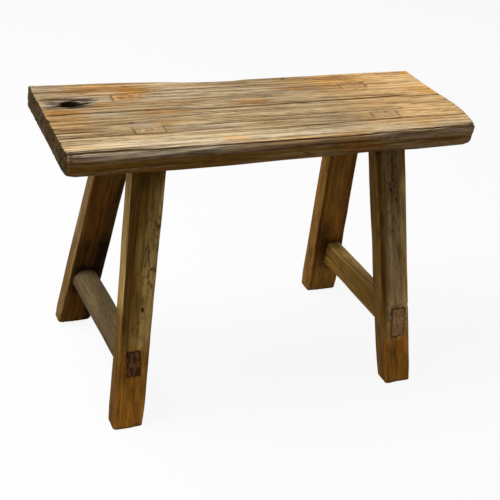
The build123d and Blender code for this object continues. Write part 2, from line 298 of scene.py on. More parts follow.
# Where the legs are marked: the mark, the face, from how low to how high as a share of the leg,
# from its left or front edge (-1) to its right or back edge (1), and how strongly. The pale patches are
# partly paler wood and partly painted light: the left faces, which turn to the lamps, are painted lit,
# and a few fronts get painted highlights, such as the right chamfer of the front right leg. The dark
# patches darken the wood; on the front of the back left leg they are painted shade under the seat
POST_PATCHES = {
    "front_left": (
        # Painted light on the left face, which turns to the lamps
        ("Pale and lit", "left", 0.45, 1.1, -1.2, 1.2, 0.85),
        ("Dirt and shade", "left", -0.1, 0.40, -1.2, 1.2, 0.24),
        ("Dirt and shade", "front", 0.35, 1.2, -1.2, -0.45, 0.45),
        ("Dirt and shade", "front", 0.75, 1.2, -0.45, 0.60, 0.30),
        ("Pale and lit", "front", 0.30, 0.90, 0.15, 1.2, 0.74),
        ("Pale and lit", "front", 0.30, 0.70, -0.40, 0.15, 0.20),
        ("Pits", "front", 0.52, 0.82, 0.10, 0.95, 0.80),
        ("Pits", "front", 0.34, 0.46, -0.30, 0.40, 0.60),
        ("Pale and lit", "front", 0.29, 0.34, -0.40, 0.50, 0.50),
        ("Red", "front", -0.1, 0.30, -1.2, 1.2, 0.95),
        ("Red", "left", -0.1, 0.20, -1.2, 1.2, 0.40),
        ("Pale and lit", "front", -0.1, 0.26, -1.2, 1.2, 0.40),
        ("Pale and lit", "front", 0.02, 0.14, 0.2, 1.2, 0.25),
    ),
    "front_right": (
        ("Pale and lit", "left", -0.1, 1.1, -1.2, 1.2, 0.10),
        ("Dirt and shade", "front", 0.30, 1.2, -1.2, -0.60, 0.45),
        ("Grey", "front", 0.25, 1.2, -0.60, 0.60, 0.55),
        ("Pits", "front", 0.60, 0.92, -0.50, 0.50, 0.55),
        ("Pale and lit", "front", 0.58, 0.66, 0.30, 1.0, 0.70),
        ("Pale and lit", "front", 0.19, 0.36, -0.75, -0.15, 0.45),
        ("Pits", "front", 0.19, 0.36, -0.75, -0.15, 0.55),
        ("Pale and lit", "front", -0.1, 0.22, -1.2, 1.2, 0.40),
        ("Dirt and shade", "front", 0.55, 0.95, 0.0, 0.45, 0.30),
        ("Pale and lit", "front", 0.25, 0.75, -0.30, 0.45, 0.45),
        # Painted highlight on the right chamfer
        ("Pale and lit", "front", 0.15, 0.85, 0.55, 1.2, 0.70),
        ("Pale and lit", "front", 0.32, 0.37, -0.5, 1.0, 0.60),
        ("Red", "front", -0.1, 0.22, -1.2, 1.2, 1.00),
        ("Red", "left", -0.1, 0.20, -1.2, 1.2, 0.50),
    ),
    "back_left": (
        ("Pale and lit", "left", -0.1, 1.1, -1.2, 1.2, 0.10),
        ("Grey", "left", -0.1, 1.1, -1.2, 1.2, 0.30),
        # Painted shade on the front, under the seat
        ("Dirt and shade", "front", 0.30, 1.2, -1.2, 1.2, 0.25),
        ("Dirt and shade", "front", -0.1, 1.2, 0.35, 1.2, 0.30),
        ("Dirt and shade", "front", 0.25, 0.45, -1.2, 1.2, 0.45),
        ("Red", "front", -0.1, 0.75, -1.2, 0.6, 0.60),
        ("Dirt and shade", "front", -0.1, 0.25, -1.2, 1.2, 0.35),
    ),
    "back_right": (
        # Painted light on the left face, which turns to the lamps
        ("Pale and lit", "left", -0.1, 1.1, -1.2, 1.2, 0.42),
        ("Red", "left", -0.1, 1.1, -1.2, 1.2, 0.55),
        ("Red", "front", -0.1, 1.1, -1.2, 1.2, 0.65),
        ("Dirt and shade", "front", 0.25, 0.42, -1.2, 0.0, 0.50),
        ("Pale and lit", "front", 0.30, 0.90, -0.8, 0.6, 0.35),
        ("Pale and lit", "front", -0.1, 0.20, -1.2, 1.2, 0.50),
    ),
}

# Patches on a leg: how soft they are along it and across it, and how unevenly they take, at the least
# and beyond that
PATCH_SOFT = (0.06, 0.15)
PATCH_UNEVEN = (0.6, 0.8)

# How strongly the legs are marked elsewhere: their arrises are lightened, partly as rubbed wood and partly as
# painted highlights, and shade is painted below the seat and round the inner side of the joint
POST_MARKS = {"arris": 0.35, "sun": 0.30, "grime": 0.30, "foot": 0.9, "shadow below the seat": 0.6, "lines": 0.65,
              "torn": 0.6, "seam": 0.9, "inner joint shade": 0.5}

# How far the marks go: in from a leg's arris, up its foot, down from the seat, where shadow is painted,
# round the hole where a stretcher goes in, on whose inner side shade is painted, and below the top of
# the seat
ARRIS_REACH = (0.0060, 0.0045)
FOOT_GRIME, SHADOW_BELOW_SEAT, INNER_JOINT_SHADE = 0.007, 0.03, 0.020
TENON_TOP = (0.004, 0.002)

# How squarely a face looks up, forwards or lengthwise where a part of the plank begins and where it is
# full, and how squarely a leg's face does so
FACING_UP, ROUNDED_UP, ROUNDED_FORWARD = (0.70, 0.90), (0.05, 0.35), (0.2, 0.5)
FACING_FORWARD, FACING_END = (0.75, 0.95), (0.50, 0.80)
FACING_SIDE = (0.35, 0.80)

# How strongly the plank is marked: pale and painted as lit, in grey, in red, by lines and by dirt.
# Its top is painted lighter, partly as bleached wood and partly as lit from above, and its worn front
# arris gets a painted highlight
SEAT_MARKS = {"top lit and bleached": 0.50, "front sun": 0.44, "sun swells": 0.26, "sun streaks": 0.40, "arris highlight": 0.26,
              "arris streaks": 0.6, "knot grey": 1.8, "front grey": 0.6, "arris grey": 0.5, "grey swells": 0.5,
              "red swells": 0.6, "red spared at front": 0.5, "side lines": 0.35, "arris cracks": 0.8,
              "seams": 0.25, "knot rays": 0.85, "end pits": 0.85, "tenon lines": 0.7}

# What changes along the plank: its strength, and where it begins and where it is full, as distances to
# the right of the middle or, where the name ends in left, to the left of it
ALONG_SEAT = {
    "sun right": (0.44, 0.10, 0.33),
    "shade left": (0.10, 0.10, 0.25),
    "arris highlight left": (0.40, -0.12, 0.05),
    "arris shade left": (0.44, 0.20, 0.27),
    "face sun right": (0.08, -0.12, 0.05),
    "arris cracks left": (0.15, 0.20, 0.28),
    "plain arris right": (1, 0.05, 0.20),
    "plain top right": (0.8, 0.05, 0.25),
    "red right": (0.40, 0.05, 0.22),
}

# The values where the cracks in the front arris begin, and how soon they are full
ARRIS_CRACKS, ARRIS_CRACKS_RISE = 0.55, 0.2

# Grey and red patches on top of the plank, and the red swirl on its front face, which is all that lies
# further forward than FRONT_FACE: the middle, the reach and the strength
GREY_PATCHES = (
    ((-0.196, -0.046), (0.036, 0.024), 0.9), ((0.202, -0.046), (0.034, 0.032), 0.5),
    ((0.017, 0.050), (0.160, 0.070), 0.35),
)
RED_PATCHES = (
    ((-0.175, 0.080), (0.050, 0.026), 1), ((-0.184, 0.094), (0.018, 0.012), 1),
    ((-0.233, 0.098), (0.100, 0.034), 0.8), ((0.147, 0.080), (0.130, 0.060), 0.45),
    ((-0.303, -0.010), (0.060, 0.060), 0.5),
)
RED_SWIRL = (((0.112, 0.436), (0.060, 0.026), 0.8),)
FRONT_FACE = -0.10

# How far the dirt goes from the seams of the seat and, as shares of the knot's mouth, from its middle
# round its rim, and how far the painted shade goes on the wall of the knot hole
SEAT_SEAM = 0.0020
KNOT_RIM, KNOT_SHADED_WALL = (1.32, 1), (1.3, 1.2)

# Stretchers: how strongly they are marked, how squarely their upper side, their right arris and their
# underside face, how far past the shoulder their end wood begins and is full, and the share of its
# grime that is everywhere. The upper side is painted as lit, the upper right arris gets a painted
# highlight and the underside painted shade
RAIL_MARKS = {"above": 0.55, "streaks": 0.5, "arris": 0.5, "lines": 0.6, "under": 0.4}
RAIL_LIT_TOP, RAIL_HIGHLIGHT_UP, RAIL_HIGHLIGHT_RIGHT, RAIL_SHADED_UNDER = (-0.2, 0.9), (0.3, 0.7), (0.1, 0.5), (0.2, 0.9)
RAIL_END_WOOD = (0.022, 0.025)
LEAST_GRIME = 0.25

# How the tops of the tenons in the seat are tinted
TENON_TINTS = {
    "front_left": {"Grey": 0.6, "Dirt and shade": 0.10},
    "front_right": {"Grey": 0.3},
    "back_left": {"Red": 0.40, "Dirt and shade": 0.05},
    "back_right": {"Red": 0.20},
}

# What changes at random over the wood: the size of one swell along each axis, the seed and, where
# it has an edge, the values where it begins and where it is full
FIELDS = {
    "line wander": ((0.260, 0.110, 0.110), 0),
    "line place": ((0.24, 0.37, 1), 1),
    "line width": ((0.08, 0.37, 1), 2),
    "line strength": ((0.17, 0.37, 1), 3),
    "wide grooves": ((0.150, 0.0052, 0.0052), 0, 0.45, 0.90),
    "fine grooves": ((0.090, 0.0021, 0.0021), 1, 0.50, 0.95),
    "groove depth": ((0.100, 0.030, 0.030), 2),
    "seat hollows": ((0.130, 0.050, 0.050), 11),
    "seat chips": ((0.035, 0.012, 0.012), 15, 0.50, 0.95),
    "end pits": ((1, 0.0090, 0.0045), 17, 0.40, 0.75),
    "end checks": ((1, 0.0040, 0.0120), 18, 0.60, 0.80),
    "crack wander": ((0.018, 1, 1), 19),
    "check length": ((1, 0.0060, 0.0120), 20),
    "front arris": ((0.060, 1, 1), 21),
    "knot rim": ((0.006, 0.006, 0.006), 23),
    "arris line place": ((0.030, 1, 1), 24),
    "arris line width": ((0.022, 1, 1), 25),
    "arris line": ((0.060, 1, 1), 26, 0.15, 0.40),
    "tenon tops": ((0.010, 0.004, 1), 29),
    "seat sun": ((0.120, 0.016, 0.016), 31),
    "seat streaks": ((0.060, 0.005, 0.005), 32),
    "seat red": ((0.080, 0.020, 0.020), 35, 0.60, 0.85),
    "seat grey": ((0.110, 0.030, 0.030), 37, 0.50, 0.80),
    "seat seams": ((0.012, 0.012, 1), 38, 0.45, 0.70),
    "arris cracks": ((0.060, 0.0030, 0.0030), 39),
    "knot rays": ((0.012, 0.0026, 1), 40, 0.45, 0.62),
    "post hollows": ((0.080, 0.020, 0.020), 0, 0.25, 0.90),
    "post arris": ((0.050, 0.020, 0.020), 0),
    "bar arris": ((0.060, 0.060, 0.060), 0),
    "joint chips": ((0.009, 0.005, 0.005), 5, 0.35, 0.80),
    "rail hollows": ((0.040, 0.012, 0.012), 7),
    "post arris highlight": ((0.040, 0.040, 0.040), 41, 0.4, 0.8),
    "post sun": ((0.045, 0.012, 0.012), 42),
    "rail sun": ((0.090, 0.008, 0.008), 42),
    "post marks": ((0.060, 0.012, 0.012), 43),
    "post grime": ((0.030, 0.010, 0.010), 44, 0.60, 0.85),
    "pits": ((0.0055, 0.0024, 0.0024), 45, 0.62, 0.78),
    "torn fibres": ((0.0030, 0.0050, 0.0050), 46),
    "broken across": ((0.004, 1, 0.012), 0),
    "broken upwards": ((0.010, 1, 0.004), 1),
    "end grime": ((0.0030, 1, 0.0080), 47, 0.40, 0.65),
}

# The points along each side of the grid that the random fields are drawn on
LATTICE = 32


# Measuring the frame

def slice_of(node, axis, low, high):
    """The lowest and highest corner of what a CAD node has between two places along an axis."""
    corners = [v.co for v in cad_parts[node].data.vertices if low <= v.co[axis] <= high]
    return Vector(map(min, *corners)), Vector(map(max, *corners))


def middle(corners):
    return (corners[0] + corners[1]) / 2


def spread(corners):
    return corners[1] - corners[0]


# Random swells and marks, worked out for many places at once

def cloud(places, swell, seed):
    """Smooth random values from 0 to 1; swell is the size of one swell along each axis."""
    lattice = np.random.default_rng(seed).random((LATTICE,) * 3)
    grid = places / np.array(swell) + seed
    low = np.floor(grid).astype(int)
    part = grid - low
    part = part * part * (3 - 2 * part)
    value = np.zeros(len(places))
    for corner in itertools.product((0, 1), repeat=3):
        share = np.prod(np.where(corner, part, 1 - part), axis=1)
        x, y, z = ((low + corner) % LATTICE).T
        value += share * lattice[x, y, z]
    return value


def ease(value, low, high):
    """0 below low, 1 above high and a smooth rise between them."""
    share = np.clip((value - low) / (high - low), 0, 1)
    return share * share * (3 - 2 * share)


def field(name, places, turn=0):
    """The random field of that name, from 0 to 1; turn picks another of its kind."""
    swell, seed, *edge = FIELDS[name]
    value = cloud(places, swell, seed + turn)
    return ease(value, *edge) if edge else value


def at_least(share, value):
    """Lifts a value that runs from 0 to 1 so that it starts at a share."""
    return share + (1 - share) * value


def crack(x, y, route, width, depth):
    """The depth of a crack along the grain, which fades out at its ends."""
    xs, ys = zip(*route)
    off = np.abs(y - np.interp(x, xs, ys)) / (width / 2)
    ends = np.clip(np.minimum(x - xs[0], xs[-1] - x) / CRACK_FADE + CRACK_OPEN_END, 0, 1)
    return depth * ends * np.clip(1 - off, 0, 1)


def curve(at, points):
    """The height of a smooth curve through a few points."""
    xs, ys = np.array(points).T
    slopes = np.gradient(ys, xs)
    first = np.clip(np.searchsorted(xs, at) - 1, 0, len(xs) - 2)
    run = xs[first + 1] - xs[first]
    share = np.clip((at - xs[first]) / run, 0, 1)
    rise = ys[first] + (ys[first + 1] - ys[first]) * share * share * (3 - 2 * share)
    return rise + run * share * (1 - share) * (slopes[first] * (1 - share) - slopes[first + 1] * share)


def patch(x, y, centre, reach):
    """1 in the middle of an oval patch, falling to 0 at its rim."""
    return ease(1 - np.hypot((x - centre[0]) / reach[0], (y - centre[1]) / reach[1]), 0, 1)


def patches(x, y, table):
    """Oval patches added up; each has its middle, its reach and its strength."""
    return sum(strength * patch(x, y, centre, reach) for centre, reach, strength in table)


def band(value, low, high, soft):
    """1 between two values, with a soft rise at each."""
    return ease(value, low - soft, low + soft) * ease(-value, -high - soft, -high + soft)


# Bench work

# How much of an edge or a normal points along an axis, at the least, where it is said to
MOSTLY = 0.9


def make_active(piece):
    bpy.ops.object.select_all(action="DESELECT")
    piece.select_set(True)
    bpy.context.view_layer.objects.active = piece


def pick(piece, kind, wanted):
    """In edit mode, selects only the verts, edges or faces that are wanted."""
    bpy.ops.mesh.select_mode(type=kind)
    bpy.ops.mesh.select_all(action="DESELECT")
    shape = bmesh.from_edit_mesh(piece.data)
    for item in {"VERT": shape.verts, "EDGE": shape.edges, "FACE": shape.faces}[kind]:
        if wanted(item):
            item.select_set(True)
    bmesh.update_edit_mesh(piece.data)


def cut_rows(piece, axis, counts):
    """In edit mode, divides all that runs along an axis, by each count in turn."""
    def runs_along(edge):
        run = edge.verts[1].co - edge.verts[0].co
        return abs(run[axis]) > MOSTLY * run.length

    for count in counts:
        pick(piece, "EDGE", runs_along)
        bpy.ops.mesh.subdivide(number_cuts=count - 1)


def cut_across(places_along):
    """In edit mode, cuts one row across all of the piece at each place along it."""
    for place in places_along:
        bpy.ops.mesh.select_all(action="SELECT")
        bpy.ops.mesh.bisect(plane_co=(place, 0, 0), plane_no=(1, 0, 0))


def applied(name):
    """The new primitive, named, with its place, turn and scale applied."""
    bpy.ops.object.transform_apply(location=True, rotation=True, scale=True)
    piece = bpy.context.object
    piece.name = piece.data.name = name
    return piece


def board(name, start, end, butt, tip, rows=PLAIN_ROWS, end_rows=()):
    """A tapering board on the bench; butt and tip are its width and depth at either end."""
    bpy.ops.object.select_all(action="DESELECT")
    bpy.ops.mesh.primitive_cube_add(size=1, location=((start + end) / 2, 0, 0), scale=(end - start, *butt))
    piece = applied(name)
    bpy.ops.object.mode_set(mode="EDIT")
    pick(piece, "VERT", lambda vert: vert.co.x > (start + end) / 2)
    bpy.ops.transform.resize(value=(1, tip[0] / butt[0], tip[1] / butt[1]), center_override=(end, 0, 0))
    cut_rows(piece, 0, rows[0])
    cut_across([start + row for row in end_rows] + [end - row for row in end_rows])
    cut_rows(piece, 2, rows[2])
    cut_rows(piece, 1, rows[1])
    bpy.ops.object.mode_set(mode="OBJECT")
    return piece


def pole(name, start, end, diameter, sides, rows):
    """A round pole on the bench."""
    bpy.ops.object.select_all(action="DESELECT")
    bpy.ops.mesh.primitive_cylinder_add(vertices=sides, radius=diameter / 2, depth=end - start,
                                        location=((start + end) / 2, 0, 0), rotation=(0, math.pi / 2, 0))
    piece = applied(name)
    bpy.ops.object.mode_set(mode="EDIT")
    cut_rows(piece, 0, rows)
    bpy.ops.object.mode_set(mode="OBJECT")
    return piece


def places_of(piece):
    places = np.empty(len(piece.data.vertices) * 3)
    piece.data.vertices.foreach_get("co", places)
    return places.reshape(-1, 3)


def normals_of(piece):
    normals = np.empty(len(piece.data.vertices) * 3, np.float32)
    piece.data.vertex_normals.foreach_get("vector", normals)
    return normals.reshape(-1, 3).astype(float)


def move_to(piece, places):
    piece.data.vertices.foreach_set("co", places.ravel())
    piece.data.update()


def half_size(butt, tip, share):
    """Half the width and depth of a tapering board, at each share of its length."""
    share = share[:, None]
    return (np.array(butt) * (1 - share) + np.array(tip) * share) / 2


def round_arrises(piece, length, butt, tip, radius, end_radius):
    """Rounds a board's long arrises by a radius for each point, and the rims of its ends."""
    places = places_of(piece)
    half = half_size(butt, tip, places[:, 0] / length)
    rounds = np.column_stack([np.full(len(places), end_radius), radius, radius])
    low = np.column_stack([np.zeros(len(places)), -half]) + rounds
    high = np.column_stack([np.full(len(places), length), half]) - rounds
    inner = np.clip(places, low, high)
    away = (places - inner) / rounds
    size = np.linalg.norm(away, axis=1, keepdims=True)
    move_to(piece, inner + rounds * away / np.maximum(size, 1))


def paint(piece, mark, values):
    """Keeps a value or a vector at each point of a piece, for its material to read."""
    values = np.asarray(values, np.float32)
    kind, content = ("FLOAT", "value") if values.ndim == 1 else ("FLOAT_VECTOR", "vector")
    if mark not in piece.data.attributes:
        piece.data.attributes.new(mark, kind, "POINT")
    piece.data.attributes[mark].data.foreach_set(content, values.ravel())


def paint_marks(piece, marks, shown=1):
    """Keeps marks that run from 0 to 1, by the share of them that is shown."""
    for mark, values in marks.items():
        paint(piece, mark, np.clip(values, 0, 1) * shown)


def painted(piece, mark):
    """The values that paint kept."""
    values = np.empty(len(piece.data.vertices), np.float32)
    piece.data.attributes[mark].data.foreach_get("value", values)
    return values.astype(float)


def wear(piece, depths):
    """Sinks the surface by a depth at each point, and keeps the depths as the mark Hollow."""
    deepest = float(depths.max())
    group = piece.vertex_groups.new(name="Worn")
    for index, share in enumerate((depths / deepest).tolist()):
        group.add([index], share, "REPLACE")
    make_active(piece)
    sink = piece.modifiers.new("Wear", "DISPLACE")
    sink.vertex_group = "Worn"
    sink.mid_level = 0
    sink.strength = -deepest
    bpy.ops.object.modifier_apply(modifier=sink.name)
    piece.vertex_groups.clear()
    paint(piece, "Hollow", depths)


def combine(piece, tools, operation):
    """Cuts tools out of a piece, or joins them to it."""
    make_active(piece)
    for tool in tools:
        cut = piece.modifiers.new("Tool", "BOOLEAN")
        cut.object = tool
        cut.operation = operation
        cut.solver = "EXACT"
        bpy.ops.object.modifier_apply(modifier=cut.name)
        bpy.data.objects.remove(tool)


class Place:
    """Where a timber is set: its butt, its tip and the ways that its width and depth face."""

    def __init__(self, butt, tip, width_way, depth_way):
        self.length = (tip - butt).length
        self.tip = tip
        along = (tip - butt) / self.length
        self.matrix = Matrix.Translation(butt) @ Matrix((along, width_way, depth_way)).transposed().to_4x4()

    def set_in(self, piece):
        piece.data.transform(self.matrix)
        if self.matrix.is_negative:
            piece.data.flip_normals()
        piece.data.update()
        return piece

    def in_stool(self, bench):
        """Where points on the bench come to lie in the stool."""
        matrix = np.array(self.matrix)
        return bench @ matrix[:3, :3].T + matrix[:3, 3]

    def on_bench(self, piece):
        """Where each point of a piece that is set in lay on the bench."""
        back = np.array(self.matrix.inverted())
        return places_of(piece) @ back[:3, :3].T + back[:3, 3]


# Where the timbers go, read from the frame

SEAT_LOW, SEAT_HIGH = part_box("seat_plank")

# How far from a node's end the corners that belong to that end lie, at most
END_BAND = 0.009

# Where the shoulders of a stretcher lie, measured in from the ends of its tenons
SHOULDER_BAND = (0.020, 0.055)


class Leg:
    """One leg's line, sizes and outer face."""

    def __init__(self, name):
        self.name = name
        end, self.side = name.split("_")
        self.outward = -1 if end == "front" else 1
        node = "leg_" + name
        foot = slice_of(node, 2, 0, END_BAND)
        shoulder = slice_of(node, 2, SEAT_LOW.z - JOINT_ROOM, SEAT_LOW.z + JOINT_ROOM)
        tenon = slice_of(node, 2, SEAT_HIGH.z - JOINT_ROOM, SEAT_HIGH.z)
        butt, tip = middle(foot), middle(tenon)
        butt.z = 0
        self.place = Place(butt, tip, ACROSS, BACK)
        self.shoulder = self.place.length * SEAT_LOW.z / SEAT_HIGH.z
        self.foot_size, self.shoulder_size, self.tenon_size = (spread(end)[:2] for end in (foot, shoulder, tenon))
        low_y = butt.y + self.outward * self.foot_size[1] / 2
        high_y = middle(shoulder).y + self.outward * self.shoulder_size[1] / 2
        self.outer_slope = Vector((0, (high_y - low_y) / SEAT_LOW.z, 1))


legs = {name: Leg(name) for name in LEGS}


def end_slices(node):
    """The corners at a node's front end and at its back end."""
    low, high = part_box(node)
    return slice_of(node, 1, low.y, low.y + END_BAND), slice_of(node, 1, high.y - END_BAND, high.y)


def end_size(corners):
    """How wide and how high an end is."""
    size = spread(corners)
    return size.x, size.z


class Joint:
    """A stretcher's tenon through one leg, with the wedge above it."""

    def __init__(self, rail_node, leg, along):
        self.wedge_node = "stretcher_wedge_" + leg.name
        outer_first = -leg.outward
        self.outwards, self.slope = along * outer_first, leg.outer_slope
        end = end_slices(rail_node)[::outer_first][0]
        thick, thin = end_slices(self.wedge_node)[::outer_first]
        tip = middle(end) - self.outwards * TENON_RECESS
        self.size, self.wedge_thin, self.wedge_thick = end_size(end), end_size(thin), end_size(thick)
        self.place = Place(tip - self.outwards * TENON_LENGTH, tip, ACROSS, self.slope)
        wedge_tip = middle(thick) - self.outwards * TENON_RECESS
        self.wedge_place = Place(middle(thin), wedge_tip, ACROSS, self.slope)

    def cutters(self):
        """What is cut out of the leg for the tenon and its wedge."""
        room = 2 * RAIL_JOINT_ROOM
        size = self.size[0] + room, self.size[1] + room
        thin = self.wedge_thin[0] + room, self.wedge_thin[1] + room
        thick = self.wedge_thick[0] + room, self.wedge_thick[1] + 2 * room
        tenon = board("Tenon_room", 0, self.place.length + CUTTER_OVERRUN, size, size)
        wedge = board("Wedge_room", 0, self.wedge_place.length + CUTTER_OVERRUN, thin, thick)
        return [self.place.set_in(tenon), self.wedge_place.set_in(wedge)]


class Rail:
    """One stretcher's line, size and wood, with its joints."""

    def __init__(self, side):
        self.node = "stretcher_" + side
        self.wood = RAIL_WOODS[side]
        low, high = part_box(self.node)
        near, far = SHOULDER_BAND
        back = slice_of(self.node, 1, high.y - far, high.y - near)
        front = slice_of(self.node, 1, low.y + near, low.y + far)
        along = (middle(front) - middle(back)).normalized()
        self.size = end_size(front)
        self.place = Place(middle(back) - along * HOUSING, middle(front) + along * HOUSING, ACROSS, UP)
        self.joints = {end + side: Joint(self.node, legs[end + side], along) for end in ("back_", "front_")}


rails = {side: Rail(side) for side in ("left", "right")}
joints = rails["left"].joints | rails["right"].joints


# How the surfaces have worn

PLANK_LENGTH = SEAT_HIGH.x - SEAT_LOW.x
PLANK_DEPTH = SEAT_HIGH.z - SEAT_LOW.z
PLANK_MIDDLE = Vector((SEAT_LOW.x, 0, (SEAT_LOW.z + SEAT_HIGH.z) / 2))
plank_place = Place(PLANK_MIDDLE, PLANK_MIDDLE + Vector((PLANK_LENGTH, 0, 0)), BACK, UP)


def grain_lines(places, spacing, seed, rare=RARE_LINES):
    """How strongly each place lies in a dark line of the grain, from 0 to 1; rare lines fade out sooner."""
    across = (places[:, 1] + LINE_SLANT * places[:, 2]) / spacing
    across += LINE_WANDER / spacing * field("line wander", places, seed)
    line = np.round(across)
    own = np.column_stack([places[:, 0], line, line])
    off = np.abs(across - line - LINE_SHIFT * (field("line place", own, seed) - 0.5)) * spacing
    width = LINE_WIDTHS[0] + LINE_WIDTHS[1] * field("line width", own, seed)
    strength = ease(field("line strength", own, seed), rare, rare + LINE_FADE)
    return strength * np.clip(LINE_FALL[0] - LINE_FALL[1] * off / width, 0, 1)


def seat_lines(places):
    """The dark lines on the plank: a few strong ones and many faint ones."""
    strong = grain_lines(places, LINE_SPACING, STRONG_LINES)
    faint = grain_lines(places, FAINT_SPACING, FAINT_LINES, COMMON_LINES)
    return np.maximum(strong, FAINT_STRENGTH * faint)


def grooves(places, depth, seed):
    """Fine grooves along the grain, where the soft wood has worn away."""
    both = field("wide grooves", places, seed) + field("fine grooves", places, seed)
    return depth * at_least(LEAST_GROOVE, field("groove depth", places, seed)) * both / 2


def seat_cracks(places, widen=1.0):
    """How deep the long cracks are, at each place in the stool; widened, they give the stain along them."""
    x, y, z = places.T
    ragged = y + CRACK_WANDER * (field("crack wander", places) - 0.5)
    depths = [crack(x, ragged, route, width * widen, depth) for route, width, depth in SEAT_CRACKS]
    return np.max(depths, axis=0)


def plank_width(along):
    """The plank's width between straight edges, from its left end (0) to its right end (1)."""
    return PLANK_WIDTHS[0] * (1 - along) + PLANK_WIDTHS[1] * along


def arris_line(places):
    """1 on the ragged dark line along the worn front arris, and 0 off it."""
    x, y, z = places.T
    along = x / PLANK_LENGTH + 0.5
    front = -plank_width(along) / 2 - curve(along, FRONT_EDGE)
    radius = np.interp(along * PLANK_LENGTH, *zip(*FRONT_ARRIS))
    line = ARRIS_LINE_PLACE * radius + ARRIS_LINE_WANDER * (field("arris line place", places) - 0.5)
    width = ARRIS_LINE_WIDTHS[0] + ARRIS_LINE_WIDTHS[1] * field("arris line width", places)
    off = (y - front) - (SEAT_HIGH.z - z) - line
    return field("arris line", places) * np.clip(ARRIS_LINE_STRENGTH - np.abs(off) / width, 0, 1)


def end_pits(places):
    """1 in the pits of the plank's rough ends, and in the short checks that run in from them."""
    from_end = PLANK_LENGTH / 2 - np.abs(places[:, 0])
    pits = field("end pits", places) * ease(PIT_REACH - from_end, 0, PIT_REACH)
    reach = CHECK_REACH[0] + CHECK_REACH[1] * field("check length", places) ** 2
    return np.maximum(pits, field("end checks", places) * ease(reach - from_end, 0, PIT_REACH))


def seat_spots(places):
    """How dark the small spots make each place on top of the plank."""
    x, y, z = places.T
    return np.max([dark * patch(x, y, spot[:2], spot[2:]) for *spot, dark in DARK_SPOTS], axis=0)


def on_top(z):
    """1 at the plank's top face, falling to 0 at its middle."""
    return ease(z, PLANK_MIDDLE.z, SEAT_HIGH.z - TOP_BAND)


def seat_hollows(places):
    """How deep the plank has worn, at each place in the stool."""
    x, y, z = places.T
    above = on_top(z)
    below = ease(-z, -PLANK_MIDDLE.z, -SEAT_LOW.z - UNDER_BAND)
    along_grain = grooves(places, SEAT_WEAR["grooves"], SEAT_GROOVES) + SEAT_WEAR["lines"] * seat_lines(places)
    hollow = SEAT_WEAR["hollows"] * field("seat hollows", places) * at_least(LOW_HOLLOWS, above)
    hollow += SEAT_WEAR["all over"] + along_grain * at_least(LOW_GRAIN, above)
    hollow += SEAT_WEAR["chips"] * ease(-y, *CHIPPED_BAND) * above * field("seat chips", places)
    hollow += SEAT_WEAR["knot"] * patch(x, y, KNOT_MIDDLE, KNOT_SINK) * above
    hollow += above * seat_cracks(places) + SEAT_WEAR["arris line"] * arris_line(places)
    hollow += (SEAT_WEAR["ends"] + SEAT_WEAR["left end"] * ease(-x, *LEFT_BAND)) * end_pits(places)
    return hollow * (1 - UNDERSIDE_SPARED * below)


def sink_with_seat(piece):
    """Takes the top of a tenon or a wedge down to the worn top of the seat."""
    places = places_of(piece)
    top = places[:, 2] > SEAT_HIGH.z - JOINT_ROOM
    places[top, 2] -= seat_hollows(places[top])
    places[top, 2] -= TENON_SINK * field("tenon tops", places[top])
    move_to(piece, places)


# The pieces

# Where in its tree each timber was cut, across and up from the pith
SEAT_GRAIN = (0, 0.25, 0.12)
POST_GRAIN, WEDGE_GRAIN, RAIL_GRAIN = (0.06, 0.09), (0.01, 0.03), (0.004, 0.006)

# Edges are shaded smooth below this angle
SMOOTH_BELOW = 45


def finish(piece, name, node, slot, place, offset, mark, look=None):
    """Gives a piece its name, marks and looks, and stands it in for its CAD node; offset picks other wood."""
    piece.name = piece.data.name = name
    paint(piece, "Grain", place.on_bench(piece) + offset)
    mark(piece)
    piece.data.materials.clear()
    piece.data.materials.append(materials[look or slot])
    make_active(piece)
    bpy.ops.object.shade_smooth_by_angle(angle=math.radians(SMOOTH_BELOW))
    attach(piece, "root")
    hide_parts(node)
    return piece


def make_seat():
    """The thick plank, with its mortises and its knot hole."""
    size = SEAT_HIGH.y - SEAT_LOW.y, PLANK_DEPTH
    piece = board("seat_board", 0, PLANK_LENGTH, size, size, SEAT_ROWS, SEAT_END_ROWS)
    places = places_of(piece)
    front, top = places[:, 1] < 0, places[:, 2] > 0
    wander = field("front arris", places) - 0.5
    above = np.interp(places[:, 0], *zip(*FRONT_ARRIS)) * (1 + FRONT_WANDER * wander)
    below = np.interp(places[:, 0], *zip(*LOWER_ARRIS)) * (1 + LOWER_WANDER * wander)
    from_middle = np.abs(places[:, 0] - PLANK_LENGTH / 2)
    below = np.where(from_middle > PLANK_LENGTH / 2 - SEAT_CORNER_ARRIS, LOW_CORNER_ARRIS, below)
    radius = np.where(front, np.where(top, above, below), SEAT_ARRIS)
    corner = ease(-places[:, 1], *(size[0] / 2 - band for band in CORNER_BAND))
    end_radius = SEAT_END_ARRIS + (SEAT_CORNER_ARRIS - SEAT_END_ARRIS) * corner
    round_arrises(piece, PLANK_LENGTH, size, size, radius, end_radius)
    cut_to_outline(piece, size[0] / 2)
    plank_place.set_in(piece)
    paint(piece, "Line", arris_line(places_of(piece)))
    wear(piece, seat_hollows(places_of(piece)))
    tools = [knot_cutter()]
    for leg in legs.values():
        room = leg.tenon_size[0] + 2 * JOINT_ROOM, leg.tenon_size[1] + 2 * JOINT_ROOM
        tool = board("Tenon_room", leg.shoulder - CUTTER_OVERRUN, leg.place.length + CUTTER_OVERRUN, room, room)
        tools.append(leg.place.set_in(tool))
    combine(piece, tools, "DIFFERENCE")
    return finish(piece, "seat_board", "seat_plank", "seat_wood", plank_place, SEAT_GRAIN, mark_seat)


